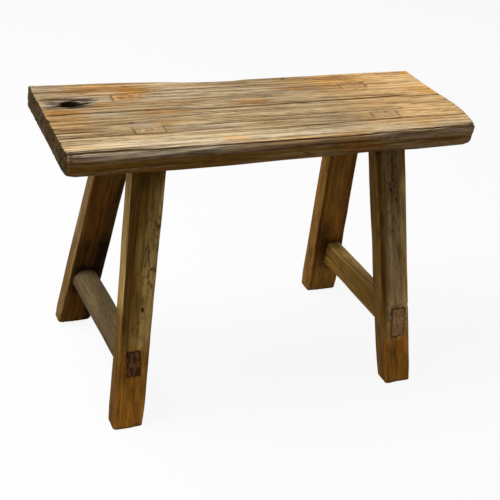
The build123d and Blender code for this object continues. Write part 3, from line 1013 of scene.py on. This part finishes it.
def cut_to_outline(piece, half):
    """Moves the edges of a straight plank to the real ones."""
    places = places_of(piece)
    along = places[:, 0] / PLANK_LENGTH
    across = places[:, 1] / half
    out = np.where(across < 0, curve(along, FRONT_EDGE), curve(along, BACK_EDGE))
    places[:, 1] = across * (plank_width(along) / 2 + out)
    lean = RIGHT_END_LEAN * (0.5 - places[:, 2] / PLANK_DEPTH)
    places[:, 0] += curve(across, LEFT_END) * (1 - along) - (curve(across, RIGHT_END) + lean) * along
    move_to(piece, places)


def knot_cutter():
    """A rough oval plug that cuts the knot hole."""
    bpy.ops.object.select_all(action="DESELECT")
    bpy.ops.mesh.primitive_cone_add(vertices=KNOT_SIDES, radius1=KNOT_FLOOR_SHARE, radius2=1, depth=KNOT_DEPTH,
                                    location=(*KNOT_MIDDLE, SEAT_HIGH.z - KNOT_DEPTH / 2), scale=(*KNOT_MOUTH, 1))
    tool = applied("Knot_plug")
    bpy.ops.object.mode_set(mode="EDIT")
    cut_rows(tool, 2, (KNOT_ROWS,))
    pick(tool, "FACE", lambda face: face.normal.z > MOSTLY)
    bpy.ops.mesh.extrude_region_move(TRANSFORM_OT_translate={"value": (0, 0, KNOT_OVERRUN)})
    bpy.ops.object.mode_set(mode="OBJECT")
    places = places_of(tool)
    out = places[:, :2] - KNOT_MIDDLE
    places[:, :2] -= out * KNOT_RAGGED * field("knot rim", places)[:, None]
    move_to(tool, places)
    return tool


def post_hollows(bench, seed):
    """How deep a leg or a stretcher has worn, at each place on the bench."""
    hollow = POST_WEAR["hollows"] * field("post hollows", bench, seed)
    hollow += grooves(bench, POST_WEAR["grooves"], seed + 1)
    return hollow + POST_WEAR["lines"] * grain_lines(bench, POST_LINE_SPACING, seed + 2)


def round_the_joint(places, joint, reach):
    """1 at a stretcher's tenon and 0 beyond a reach round it, on the leg's outer face."""
    centre = joint.place.tip
    top = joint.size[1] / 2 + joint.wedge_thick[1]
    z = np.maximum(places[:, 2] - centre.z - top, centre.z - joint.size[1] / 2 - places[:, 2])
    x = np.abs(places[:, 0] - centre.x) - joint.size[0] / 2
    return ease(reach - np.maximum(x, z), 0, reach)


def make_post(leg, seed):
    """A leg with its tenon, and its mortise for the stretcher."""
    length = leg.shoulder + HOUSING
    joint = joints[leg.name]
    piece = board("Post", 0, length, leg.foot_size, leg.shoulder_size, POST_ROWS, POST_END_ROWS)
    bench = places_of(piece)
    foot_arris = FOOT_ARRIS[leg.name]
    radius = POST_ARRIS[0] + POST_ARRIS[1] * field("post arris", bench, seed) ** 2
    radius += FOOT_CORNER_SHARE * foot_arris * ease(FOOT_WORN - bench[:, 0], 0, FOOT_WORN)
    round_arrises(piece, length, leg.foot_size, leg.shoulder_size, radius, foot_arris)

    bench = places_of(piece)
    side = normals_of(piece)[:, 1]
    worn_left, worn_right = WORN_SIDES.get(leg.name, (0, 0))
    worn = worn_left * ease(-side, *WORN_FACING) + worn_right * ease(side, *WORN_FACING)
    near = round_the_joint(leg.place.in_stool(bench), joint, CHIP_REACH) * (np.sign(bench[:, 2]) == leg.outward)
    hollow = post_hollows(bench, seed) + worn * band(bench[:, 0] / length, *WORN_STRETCH)
    wear(piece, hollow + CHIPS[leg.name] * near * field("joint chips", bench, seed))

    root = leg.shoulder - TENON_ROOT
    tenon = board("Tenon", root, leg.place.length, leg.tenon_size, leg.tenon_size, TENON_ROWS)
    combine(piece, [tenon], "UNION")
    leg.place.set_in(piece)
    sink_with_seat(piece)
    wedge_place, thin, thick = leg_wedge(leg)
    thin, thick = ((size[0] + JOINT_ROOM, size[1] + CUTTER_OVERRUN) for size in (thin, thick))
    slot = board("Wedge_room", 0, wedge_place.length + CUTTER_OVERRUN, thin, thick)
    tools = [wedge_place.set_in(slot)] + joint.cutters()
    if leg.name == NAIL_LEG:
        tools.append(nail_hole())
    combine(piece, tools, "DIFFERENCE")
    return finish(piece, "post_" + leg.name, "leg_" + leg.name, "leg_wood", leg.place, (seed, *POST_GRAIN),
                  lambda post: mark_post(post, leg, seed))


def nail_hole():
    """What an old nail has left in the front of a leg."""
    bpy.ops.object.select_all(action="DESELECT")
    bpy.ops.mesh.primitive_cone_add(vertices=NAIL_SIDES, radius1=NAIL_RADII[0], radius2=NAIL_RADII[1],
                                    depth=NAIL_DEPTH, location=NAIL_PLACE, rotation=(-math.pi / 2, 0, 0))
    return applied("Nail")


def leg_wedge(leg):
    """The place of the wedge in a leg's tenon, and its size at its thin and its thick end."""
    node = "leg_wedge_" + leg.name
    low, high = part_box(node)
    thin = slice_of(node, 2, low.z, low.z + JOINT_ROOM)
    thick = slice_of(node, 2, high.z - JOINT_ROOM, high.z)
    return Place(middle(thin), middle(thick), ACROSS, BACK), spread(thin)[:2], spread(thick)[:2]


def make_leg_wedge(leg, seed):
    place, thin, thick = leg_wedge(leg)
    piece = board("Wedge", 0, place.length, thin, thick, WEDGE_ROWS)
    place.set_in(piece)
    sink_with_seat(piece)
    return finish(piece, "key_" + leg.name, "leg_wedge_" + leg.name, "wedge_wood", place, (seed, *WEDGE_GRAIN),
                  lambda key: mark_tenon_top(key, leg), "leg_wood")


def roughen_end(piece, joint, seed):
    """Breaks up the end of a stretcher's tenon or wedge."""
    places = places_of(piece)
    from_tip = places - np.array(joint.place.tip)
    at_end = np.abs(from_tip[:, 1] - joint.slope.y * from_tip[:, 2]) < END_FACE
    depth = BROKEN_END * field("broken across", places, seed) * field("broken upwards", places, seed)
    corner_depth, corner_width = BROKEN_CORNER
    depth += corner_depth * ease(-from_tip[:, 0], joint.size[0] / 2 - corner_width, joint.size[0] / 2)
    places[at_end] -= np.array(joint.outwards) * depth[at_end, None]
    move_to(piece, places)


def make_joint_wedge(leg, rail, seed):
    joint = joints[leg.name]
    thin, thick, place = joint.wedge_thin, joint.wedge_thick, joint.wedge_place
    piece = board("Wedge", 0, place.length, thin, thick, JOINT_WEDGE_ROWS)
    upper, lower = RAIL_WEDGE_ARRISES
    round_arrises(piece, place.length, thin, thick, np.where(places_of(piece)[:, 2] > 0, upper, lower), lower)
    place.set_in(piece)
    roughen_end(piece, joint, seed + WEDGE_ENDS)
    return finish(piece, "rail_key_" + leg.name, joint.wedge_node, "wedge_wood", place, (seed, *WEDGE_GRAIN),
                  lambda key: mark_end_wood(key, rail.wood), rail.wood)


def make_rail(side, seed):
    """A stretcher with both its tenons."""
    rail = rails[side]
    length = rail.place.length
    if side == "left":
        piece = pole("Rail", 0, length, rail.size[0], POLE_SIDES, POLE_ROWS)
    else:
        piece = board("Rail", 0, length, rail.size, rail.size, BAR_ROWS)
        least, more = BAR_ARRIS_SPREAD
        radius = BAR_ARRIS * (least + more * field("bar arris", places_of(piece), seed))
        round_arrises(piece, length, rail.size, rail.size, radius, BAR_END_ARRIS)
    bench = places_of(piece)
    bare = ease(np.minimum(bench[:, 0], length - bench[:, 0]), *RAIL_WORN_FROM)
    wear(piece, (post_hollows(bench, seed) + POST_WEAR["rail"] * field("rail hollows", bench, seed)) * bare)
    rail.place.set_in(piece)
    tenons = []
    for joint in rail.joints.values():
        tenon = board("Tenon", 0, joint.place.length, joint.size, joint.size, RAIL_TENON_ROWS)
        joint.place.set_in(tenon)
        roughen_end(tenon, joint, seed + RAIL_ENDS)
        tenons.append(tenon)
    combine(piece, tenons, "UNION")
    return finish(piece, "rail_" + side, rail.node, rail.wood, rail.place, (seed, *RAIL_GRAIN),
                  lambda whole: mark_rail(whole, rail, seed))


# Where each piece is pale, grey, red, dirty or cut across the grain

def seams_round(leg, places):
    """How far each place lies from the outline of a leg's tenon in the seat."""
    along = leg.place.matrix.to_3x3() @ Vector((1, 0, 0))
    lean = np.outer(places[:, 2] - SEAT_HIGH.z, along.xy / along.z)
    off = np.abs(places[:, :2] - leg.place.tip.xy - lean) - np.array(leg.tenon_size) / 2
    outside = np.hypot(*np.maximum(off, 0).T)
    return np.abs(outside + np.minimum(off.max(axis=1), 0))


def facing(normals, face):
    """1 where a leg's surface looks the way of that face."""
    axis, sign = FACES[face]
    return ease(sign * normals[:, axis], *FACING_SIDE)


def along_seat(name, x):
    """How strong something is along the plank."""
    strength, low, high = ALONG_SEAT[name]
    return strength * ease(-x if name.endswith("left") else x, low, high)


def mark_seat(piece):
    """Marks where the plank is pale and painted lit, lined, grey, red, cut across the grain, dirty and in painted
    shade.
    """
    places, normals = places_of(piece), normals_of(piece)
    x, y, z = places.T
    much = SEAT_MARKS
    top, front, knot = on_top(z), ease(-y, *FRONT_BAND), patch(x, y, KNOT_MIDDLE, KNOT_STAIN)
    above = ease(normals[:, 2], *FACING_UP)
    rounded = ease(normals[:, 2], *ROUNDED_UP) * ease(-normals[:, 1], *ROUNDED_FORWARD) * (1 - above) * top
    end = ease(np.abs(normals[:, 0]), *FACING_END) * (np.abs(x) > PLANK_LENGTH / 2 - END_WOOD)

    # The top is painted lighter, partly as bleached wood and partly as lit from above, and the rounded front
    # arris gets a painted highlight
    streaks = field("seat streaks", places) - 0.5
    flat = much["top lit and bleached"] + much["front sun"] * front + much["sun streaks"] * streaks
    flat += much["sun swells"] * (field("seat sun", places) - 0.5)
    flat += along_seat("sun right", x) - along_seat("shade left", x) * (1 - front)
    arris = much["arris highlight"] + much["arris streaks"] * streaks
    arris += along_seat("arris highlight left", x) - along_seat("arris shade left", x)
    face = along_seat("face sun right", x) * ease(-normals[:, 1], *FACING_FORWARD)

    cracked = ARRIS_CRACKS - along_seat("arris cracks left", x)
    cracks = rounded * ease(field("arris cracks", places), cracked, cracked + ARRIS_CRACKS_RISE)
    lines = np.max([
        seat_lines(places) * at_least(much["side lines"], top),
        seat_cracks(places, STAIN_WIDENING) / STAIN_DEPTH * top,
        painted(piece, "Line"),
        much["arris cracks"] * cracks,
    ], axis=0)

    grey = np.clip(much["knot grey"] * knot, 0, 1) + much["front grey"] * front + patches(x, y, GREY_PATCHES)
    grey += much["arris grey"] * rounded * (1 - along_seat("plain arris right", x))
    grey += much["grey swells"] * field("seat grey", places) * above * (1 - along_seat("plain top right", x))

    red = patches(x, y, RED_PATCHES) + much["red swells"] * field("seat red", places)
    red += along_seat("red right", x) * (1 - much["red spared at front"] * front)
    red = red * top * (1 - knot) + patches(x, z, RED_SWIRL) * (y < FRONT_FACE)

    seams = np.min([seams_round(leg, places) for leg in legs.values()], axis=0)
    in_knot = np.hypot(*((places[:, :2] - KNOT_MIDDLE) / KNOT_MOUTH).T)
    rim, shaded_wall = (ease(-in_knot, -far, -near) for far, near in (KNOT_RIM, KNOT_SHADED_WALL))
    dirt_and_shade = np.max([
        much["seams"] * ease(SEAT_SEAM - seams, 0, SEAT_SEAM) * field("seat seams", places),
        much["knot rays"] * np.clip(2 * knot, 0, 1) * field("knot rays", places),
        rim,
        seat_spots(places),
    ], axis=0)
    # The wall of the knot hole is painted dark, as shade in the hole
    shaded_wall *= np.abs(normals[:, 2]) < MOSTLY
    dirt_and_shade = np.max([dirt_and_shade * top, much["end pits"] * end_pits(places), shaded_wall], axis=0)

    paint(piece, "Hollow", seat_hollows(places))
    paint_marks(piece, {"Pale and lit": above * flat + rounded * arris + face, "End": end, "Dirt and shade": dirt_and_shade})
    paint_marks(piece, {"Line": lines, "Grey": np.clip(grey, 0, 1) * top, "Red": red}, 1 - end)


def mark_post(piece, leg, seed):
    """Marks a leg: its patches, its arrises with painted highlights, its foot, the painted shadow below the seat,
    the wood round its joint and the top of its tenon.
    """
    bench, places, normals = leg.place.on_bench(piece), places_of(piece), normals_of(piece)
    much = POST_MARKS
    up = bench[:, 0] / leg.shoulder
    half = half_size(leg.foot_size, leg.shoulder_size, np.clip(up, 0, 1))
    across = bench[:, 1:] / half
    uneven = PATCH_UNEVEN[0] + PATCH_UNEVEN[1] * field("post marks", bench, seed)
    marks = {name: np.zeros(len(bench)) for name in ("Pale and lit", "Grey", "Red", "Dirt and shade", "Pits")}
    for name, face, low, high, left, right, strength in POST_PATCHES[leg.name]:
        over = across[:, 0] if face in ("front", "back") else across[:, 1]
        shape = band(up, low, high, PATCH_SOFT[0]) * band(over, left, right, PATCH_SOFT[1])
        marks[name] += strength * uneven * facing(normals, face) * shape
    marks["Dirt and shade"] += marks.pop("Pits") * field("pits", bench, seed)

    # The arrises are lightened, partly as rubbed wood and partly as painted highlights
    reach, fade = ARRIS_REACH
    arris = ease(reach - (half - np.abs(bench[:, 1:])).max(axis=1), 0, fade)
    marks["Pale and lit"] += much["arris"] * arris * field("post arris highlight", bench, seed)
    marks["Pale and lit"] += much["sun"] * (field("post sun", bench, seed) - 0.5)
    marks["Dirt and shade"] += much["grime"] * field("post grime", bench, seed)
    marks["Dirt and shade"] += much["foot"] * ease(FOOT_GRIME - places[:, 2], 0, FOOT_GRIME)
    # Painted shadow at the top of the leg, just below the seat
    marks["Dirt and shade"] += much["shadow below the seat"] * ease(places[:, 2], SEAT_LOW.z - SHADOW_BELOW_SEAT, SEAT_LOW.z)
    if leg.name == NAIL_LEG:
        reach, fade = NAIL_STAIN
        away = np.hypot(places[:, 0] - NAIL_PLACE[0], places[:, 2] - NAIL_PLACE[2])
        marks["Dirt and shade"] += ease(reach - away, 0, fade) * (places[:, 1] < NAIL_PLACE[1] + NAIL_DEPTH)
    mark_joint(marks, leg, seed, bench, places, across)

    top = ease(places[:, 2], *(SEAT_HIGH.z - low for low in TENON_TOP))
    lines = much["lines"] * grain_lines(bench, POST_LINE_SPACING, seed + 2)
    paint(piece, "Hollow", post_hollows(bench, seed))
    paint_marks(piece, {"Line": lines * (1 - top) + lines_over_tenon(places) * top, "End": top})
    paint_marks(piece, {name: values * (1 - top) + tenon_tint(places, leg, name) * top
                        for name, values in marks.items()})


def mark_joint(marks, leg, seed, bench, places, across):
    """Adds the torn wood and the seam round a stretcher's tenon, and painted shade round it on the leg's inner
    side.
    """
    joint = joints[leg.name]
    outer = np.sign(bench[:, 2]) == leg.outward
    torn = TORN.get(leg.name, 0) * round_the_joint(places, joint, TORN_REACH) * outer
    fibres = field("torn fibres", bench, seed)
    marks["Pale and lit"] += torn * ease(fibres, *TORN_PALE)
    marks["Dirt and shade"] += POST_MARKS["torn"] * torn * ease(fibres, *TORN_DARK)
    seam_width = np.where(places[:, 0] < joint.place.tip.x, LEFT_SEAMS.get(leg.name, SEAM_WIDTH), SEAM_WIDTH)
    seam = POST_MARKS["seam"] * round_the_joint(places, joint, seam_width) * outer
    marks["Dirt and shade"] = np.maximum(marks["Dirt and shade"], seam)
    # Painted shade on the leg's inner side, round where the stretcher goes in
    inner = (np.sign(bench[:, 2]) != leg.outward) & (np.abs(across[:, 1]) > MOSTLY)
    marks["Dirt and shade"] += POST_MARKS["inner joint shade"] * round_the_joint(places, joint, INNER_JOINT_SHADE) * inner


def lines_over_tenon(places):
    """The seat's own lines, where they go on over the top of a tenon."""
    return SEAT_MARKS["tenon lines"] * seat_lines(places)


def tenon_tint(places, leg, name):
    """How strongly the top of a tenon is marked."""
    tint = np.full(len(places), TENON_TINTS[leg.name].get(name, 0.0))
    return np.maximum(tint, seat_spots(places)) if name == "Dirt and shade" else tint


def mark_tenon_top(piece, leg):
    """Marks the wedge in a tenon like the top of that tenon."""
    places = places_of(piece)
    tints = {name: tenon_tint(places, leg, name) for name in ("Grey", "Red", "Dirt and shade")}
    paint_marks(piece, {"End": np.ones(len(places)), "Line": lines_over_tenon(places), **tints})


def mark_rail(piece, rail, seed):
    """Marks a stretcher: painted light on top, a painted arris highlight, its lines, painted shade under it, its
    tenons' ends.
    """
    bench, normals = rail.place.on_bench(piece), normals_of(piece)
    much = RAIL_MARKS
    half = rail.place.length / 2
    ends = ease(np.abs(bench[:, 0] - half) - half, *RAIL_END_WOOD)
    # Painted light on the upper side, and a painted highlight along the upper right arris
    sun = much["above"] * ease(normals[:, 2], *RAIL_LIT_TOP) + much["streaks"] * (field("rail sun", bench, seed) - 0.5)
    sun += much["arris"] * ease(normals[:, 2], *RAIL_HIGHLIGHT_UP) * ease(normals[:, 0], *RAIL_HIGHLIGHT_RIGHT)
    lines = much["lines"] * grain_lines(bench, POST_LINE_SPACING, seed + 2)
    # Painted shade on the underside
    dirt_and_shade = much["under"] * ease(-normals[:, 2], *RAIL_SHADED_UNDER)
    paint(piece, "Hollow", post_hollows(bench, seed))
    paint_marks(piece, {"Line": lines, "Pale and lit": sun}, 1 - ends)
    dirt_and_shade = dirt_and_shade * (1 - ends) + end_grime(places_of(piece), rail.wood) * ends
    paint_marks(piece, {"End": ends, "Dirt and shade": dirt_and_shade})


def end_grime(places, timber):
    """Grime in the broken ends of the stretchers."""
    return END_GRIME[timber] * at_least(LEAST_GRIME, field("end grime", places))


def mark_end_wood(piece, timber):
    """Marks the wedge over a stretcher like the end of that stretcher."""
    places = places_of(piece)
    paint_marks(piece, {"End": np.ones(len(places)), "Dirt and shade": end_grime(places, timber)})


# Materials

# The noise in the wood: its swells per metre along and across the grain, its detail and its own shift
NOISES = {
    "fibres": (12, 800, 4.0, 0.0), "streaks": (7, 230, 3.0, 3.0), "stains": (12, 34, 4.0, 7.0),
    "flecks": (60, 420, 2.0, 9.0), "chatter": (38, 300, 3.0, 5.0),
}
NOISE_ROUGHNESS = 0.6

# How the noise darkens the wood: its lowest and highest value, and what each of them adds
DARKENING = {
    "fibres": (0.35, 0.75, -0.18, 0.20), "stains": (0.3, 0.7, -0.12, 0.14), "chatter": (0.30, 0.70, -0.20, 0.24),
}

# The least and the greatest darkness, and how bright the wood is with each
BRIGHTNESS = (-0.4, 0.9, 1.35, 0.40)

# How the rings swerve: swells per metre along and across the grain, and how far they are moved
SWERVE = (2, 14, 14)
SWERVE_REACH = 0.012

# The scale of a wave texture whose waves are one metre wide
WAVE_SCALE = 0.314

# The values between which rings, flecks and ash grey come in, and a line of the grain breaks up
RING_SPAN, FLECK_SPAN, ASH_SPAN, LINE_SPAN = (0.30, 1.0), (0.58, 0.70), (0.35, 0.65), (0.3, 0.6, 1.0, 0.75)

# How much the streaks change how pale and how lit the wood is painted
STREAKED_PALE_AND_LIT = 0.8

# How deep a hollow is where its dirt begins and where it is full, and how dirty hollows and flecks are
DIRTY_HOLLOWS = (0.0016, 0.0034)
HOLLOW_DIRT, FLECK_DIRT = 0.85, 0.40

# Colours, as they are read from a screen, and tints that multiply the wood's own
# The grime colour is where dirt darkens the wood, and also where shade is painted
GRIME_AND_SHADE = (34, 21, 9)
WEATHERED = ((84, 76, 66), (192, 182, 168))
LINE_TINT = (0.24, 0.15, 0.08, 1.0)
WARM_TINT = (1.08, 0.72, 0.30, 1.0)

# The surface: roughness where clean and where dirty, shine, and how fibres, rings and flecks stand out
ROUGHNESS = (0.68, 0.90)
SHINE = 0.06
RELIEF = {"fibres": 0.6, "rings": 0.4, "flecks": 0.8}
BUMP_STRENGTH, BUMP_HEIGHT = 0.6, 0.0008

# Each wood: its colour where it is pale and painted as lit, its colour in painted shade, which is partly
# its darker patina, and its colour across the grain, how wide and how strong its rings are, and how far
# it weathers where it is grey
WOODS = {
    "seat_wood": ((232, 206, 160), (108, 74, 24), (68, 52, 24), 0.0090, 0.28, 0.62),
    "leg_wood": ((178, 146, 86), (114, 80, 24), (186, 152, 106), 0.0070, 0.20, 0.35),
    "pole_wood": ((112, 94, 66), (84, 68, 42), (116, 76, 46), 0.0060, 0.15, 0.4),
    "bar_wood": ((204, 166, 100), (138, 102, 40), (166, 124, 84), 0.0060, 0.20, 0.4),
}


def add(tree, kind, sockets=None, **settings):
    """Adds a shader node; each socket takes a value or another node's output."""
    node = tree.nodes.new("ShaderNode" + kind)
    for setting, value in settings.items():
        setattr(node, setting, value)
    for socket, value in (sockets or {}).items():
        if isinstance(value, bpy.types.NodeSocket):
            tree.links.new(value, node.inputs[socket])
        else:
            node.inputs[socket].default_value = value
    return node


def figure(tree, operation, *values):
    """The result of a Math node."""
    return add(tree, "Math", dict(enumerate(values)), operation=operation).outputs[0]


def span(tree, value, low, high, out_low=0.0, out_high=1.0):
    """The value taken smoothly from one span to another."""
    sockets = {"Value": value, "From Min": low, "From Max": high, "To Min": out_low, "To Max": out_high}
    return add(tree, "MapRange", sockets, interpolation_type="SMOOTHSTEP").outputs[0]


def blend(tree, share, first, second, way="MIX"):
    """Two colours mixed by a share."""
    return add(tree, "Mix", {0: share, 6: first, 7: second}, data_type="RGBA", blend_type=way).outputs[2]


def mark(tree, name):
    """What paint has kept for the material."""
    return add(tree, "Attribute", attribute_name=name).outputs["Fac"]


def stretched(tree, grain, along, across, detail, turn):
    """Noise drawn out along the grain; along and across are swells per metre."""
    place = add(tree, "Mapping", {"Vector": grain, "Scale": (along, across, across), "Location": (turn,) * 3})
    noise = {"Vector": place.outputs[0], "Scale": 1.0, "Detail": detail, "Roughness": NOISE_ROUGHNESS}
    return add(tree, "TexNoise", noise).outputs["Fac"]


def colour(*levels):
    """A colour as it is read from a screen, from 0 to 255."""
    return *(((c / 255 + 0.055) / 1.055) ** 2.4 if c > 10 else c / 255 / 12.92 for c in levels), 1.0


def group(name, inputs, outputs):
    """A node group with its sockets; inputs map a name to a socket kind and a value."""
    tree = bpy.data.node_groups.new(name, "ShaderNodeTree")
    for socket, (kind, value) in inputs.items():
        tree.interface.new_socket(socket, in_out="INPUT", socket_type="NodeSocket" + kind).default_value = value
    for socket, kind in outputs.items():
        tree.interface.new_socket(socket, in_out="OUTPUT", socket_type="NodeSocket" + kind)
    return tree, tree.nodes.new("NodeGroupInput").outputs, tree.nodes.new("NodeGroupOutput").inputs


def old_wood_group():
    """Aged wood: rings, fibres and pores, paler and painted as lit, greyed, reddened, and darkened by dirt and
    painted shade, where it is marked so.
    """
    tree, given, out = group("Old wood", {
        "Pale and lit colour": ("Color", (1, 1, 1, 1)),
        "Shaded": ("Color", (1, 1, 1, 1)),
        "Line colour": ("Color", (0, 0, 0, 1)),
        "Grime and shade": ("Color", (0, 0, 0, 1)),
        "End wood": ("Color", (1, 1, 1, 1)),
        "Ring width": ("Float", 0.004),
        "Ring strength": ("Float", 0.3),
        "Weathering": ("Float", 0.5),
    }, {"Colour": "Color", "Roughness": "Float", "Height": "Float"})
    grain = add(tree, "Attribute", attribute_name="Grain").outputs["Vector"]
    place = add(tree, "Mapping", {"Vector": grain, "Scale": SWERVE}).outputs[0]
    swerve = add(tree, "TexNoise", {"Vector": place, "Scale": 1.0, "Detail": 2.0}).outputs["Color"]
    bent = add(tree, "VectorMath", {0: swerve, 1: (0.5, 0.5, 0.5)}, operation="SUBTRACT")
    bent = add(tree, "VectorMath", {0: bent.outputs[0], "Scale": SWERVE_REACH}, operation="SCALE")
    swirled = add(tree, "VectorMath", {0: grain, 1: bent.outputs[0]}).outputs[0]
    waves = figure(tree, "DIVIDE", WAVE_SCALE, given["Ring width"])
    rings = add(tree, "TexWave", {"Vector": swirled, "Scale": waves, "Distortion": 0.0},
                wave_type="RINGS", rings_direction="X", wave_profile="SAW")
    rings = span(tree, rings.outputs["Fac"], *RING_SPAN)
    noise = {name: stretched(tree, grain if name == "stains" else swirled, *figures)
             for name, figures in NOISES.items()}
    flecks = span(tree, noise["flecks"], *FLECK_SPAN)

    # The wood goes from its colour in painted shade to its pale colour, painted as lit, by how it is marked, and
    # the streaks vary that
    uneven = figure(tree, "MULTIPLY", figure(tree, "SUBTRACT", noise["streaks"], 0.5), STREAKED_PALE_AND_LIT)
    sun = figure(tree, "MAXIMUM", figure(tree, "ADD", mark(tree, "Pale and lit"), uneven), 0.0)
    wood = blend(tree, figure(tree, "MINIMUM", sun, 1.0), given["Shaded"], given["Pale and lit colour"])
    wood = blend(tree, mark(tree, "End"), wood, given["End wood"])
    dark = figure(tree, "MULTIPLY", rings, given["Ring strength"])
    for name, figures in DARKENING.items():
        dark = figure(tree, "ADD", dark, span(tree, noise[name], *figures))
    wood = blend(tree, 1.0, wood, span(tree, dark, *BRIGHTNESS), "MULTIPLY")
    ash = blend(tree, span(tree, noise["streaks"], *ASH_SPAN), *(colour(*tone) for tone in WEATHERED))
    wood = blend(tree, mark(tree, "Grey"), wood, blend(tree, given["Weathering"], wood, ash))
    wood = blend(tree, mark(tree, "Red"), wood, blend(tree, 1.0, wood, WARM_TINT, "MULTIPLY"))
    line = figure(tree, "MULTIPLY", mark(tree, "Line"), span(tree, noise["fibres"], *LINE_SPAN))
    wood = blend(tree, line, wood, blend(tree, 1.0, wood, given["Line colour"], "MULTIPLY"))
    hollow = figure(tree, "MULTIPLY", span(tree, mark(tree, "Hollow"), *DIRTY_HOLLOWS), HOLLOW_DIRT)
    # Dirt and painted shade darken the wood towards the grime colour
    dirt_and_shade = figure(tree, "MAXIMUM", hollow, mark(tree, "Dirt and shade"))
    dirt_and_shade = figure(tree, "MAXIMUM", dirt_and_shade, figure(tree, "MULTIPLY", flecks, FLECK_DIRT))
    tree.links.new(blend(tree, dirt_and_shade, wood, given["Grime and shade"]), out["Colour"])

    raised = {"fibres": noise["fibres"], "rings": rings, "flecks": flecks}
    fibres, low_rings, low_flecks = (figure(tree, "MULTIPLY", raised[name], RELIEF[name]) for name in RELIEF)
    height = figure(tree, "SUBTRACT", figure(tree, "SUBTRACT", fibres, low_rings), low_flecks)
    tree.links.new(height, out["Height"])
    tree.links.new(span(tree, dirt_and_shade, 0.0, 1.0, *ROUGHNESS), out["Roughness"])
    return tree


def blank_tree(owner):
    """The emptied node tree of a material or of the world."""
    owner.use_nodes = True
    owner.node_tree.nodes.clear()
    return owner.node_tree


def wood(name, group_tree, pale_lit_colour, shaded, end_wood, ring_width, ring_strength, weathering):
    """One timber's material."""
    material = bpy.data.materials.new(name)
    tree = blank_tree(material)
    old = add(tree, "Group", {
        "Pale and lit colour": colour(*pale_lit_colour), "Shaded": colour(*shaded), "Line colour": LINE_TINT, "Grime and shade": colour(*GRIME_AND_SHADE),
        "End wood": colour(*end_wood), "Ring width": ring_width, "Ring strength": ring_strength,
        "Weathering": weathering}, node_tree=group_tree).outputs
    bump = add(tree, "Bump", {"Height": old["Height"], "Strength": BUMP_STRENGTH, "Distance": BUMP_HEIGHT})
    surface = add(tree, "BsdfPrincipled", {
        "Base Color": old["Colour"], "Roughness": old["Roughness"], "Normal": bump.outputs[0],
        "Specular IOR Level": SHINE})
    add(tree, "OutputMaterial", {"Surface": surface.outputs[0]})
    return material


old_wood = old_wood_group()
materials = {name: wood(name.replace("_", " ").capitalize(), old_wood, *looks) for name, looks in WOODS.items()}


# The stool is put together

make_seat()
for seed, leg in enumerate(legs.values(), FIRST_LEG):
    make_post(leg, seed)
    make_leg_wedge(leg, seed)
    make_joint_wedge(leg, rails[leg.side], seed)
for seed, side in enumerate(rails, FIRST_RAIL):
    make_rail(side, seed)


# Floor, light and camera

# The floor: its size, its colour where it throws light back and where it is seen, and how much of what
# is seen shines of itself
FLOOR_SIZE = 40
FLOOR_LIT, FLOOR_SEEN = (170, 168, 164), (243, 243, 243)
FLOOR_SHINING = 0.90

# How bright the light from all round is, and how bright it looks
SKY_LIGHT, SKY_SEEN = 0.36, 1.0

# The lamps: the place, the point that they face, the size and the power
LAMPS = {
    "Overhead lamp": ((-1.1, 0.3, 2.2), (0, 0, 0.3), 1.4, 40),
    "Side lamp": ((-2.0, -0.3, 0.9), (0, 0, 0.25), 1.0, 5),
}


def seen_directly(tree):
    """1 for what the camera sees, itself or in a mirror or through glass, and 0 for light on other things."""
    rays = add(tree, "LightPath").outputs
    indirect = figure(tree, "MAXIMUM", rays["Is Glossy Ray"], rays["Is Transmission Ray"])
    return figure(tree, "MAXIMUM", rays["Is Camera Ray"], indirect)


def mixed(tree, share, first, second):
    """Two shaders mixed by a share."""
    return add(tree, "MixShader", {0: share, 1: first.outputs[0], 2: second.outputs[0]})


bpy.ops.object.select_all(action="DESELECT")
bpy.ops.mesh.primitive_plane_add(size=FLOOR_SIZE, location=(0, 0, 0))
floor = bpy.context.object
floor.name = floor.data.name = "floor"
floor_look = bpy.data.materials.new("Floor")
tree = blank_tree(floor_look)
plain, pale = (add(tree, "BsdfDiffuse", {"Color": colour(*tone)}) for tone in (FLOOR_LIT, FLOOR_SEEN))
shining = add(tree, "Emission", {"Color": (1, 1, 1, 1), "Strength": 1.0})
shown = mixed(tree, seen_directly(tree), plain, mixed(tree, FLOOR_SHINING, pale, shining))
add(tree, "OutputMaterial", {"Surface": shown.outputs[0]})
floor.data.materials.append(floor_look)

scene = bpy.context.scene
scene.view_settings.view_transform = "Standard"
scene.world = bpy.data.worlds.new("Studio")
tree = blank_tree(scene.world)
soft, white = (add(tree, "Background", {"Color": (1, 1, 1, 1), "Strength": strength})
               for strength in (SKY_LIGHT, SKY_SEEN))
add(tree, "OutputWorld", {"Surface": mixed(tree, seen_directly(tree), soft, white).outputs[0]})

for name, (place, target, size, power) in LAMPS.items():
    bpy.ops.object.select_all(action="DESELECT")
    bpy.ops.object.light_add(type="AREA", location=place)
    lamp = bpy.context.object
    lamp.name = lamp.data.name = name
    lamp.rotation_euler = (Vector(target) - Vector(place)).to_track_quat("-Z", "Y").to_euler()
    lamp.data.shape = "DISK"
    lamp.data.size = size
    lamp.data.energy = power

camera_data = bpy.data.cameras.new("Camera")
camera = bpy.data.objects.new("Camera", camera_data)
scene.collection.objects.link(camera)
scene.camera = camera
camera_data.lens = FOCAL_LENGTH_MM
camera_data.sensor_width = SENSOR_WIDTH_MM
camera_data.clip_start = NEAREST_SEEN
turn = (Matrix.Rotation(math.radians(CAMERA_AZIMUTH), 4, "Z")
        @ Matrix.Rotation(math.radians(90 - CAMERA_ELEVATION), 4, "X")
        @ Matrix.Rotation(math.radians(CAMERA_ROLL), 4, "Z"))
camera.matrix_world = Matrix.Translation(CAMERA_PLACE) @ turn
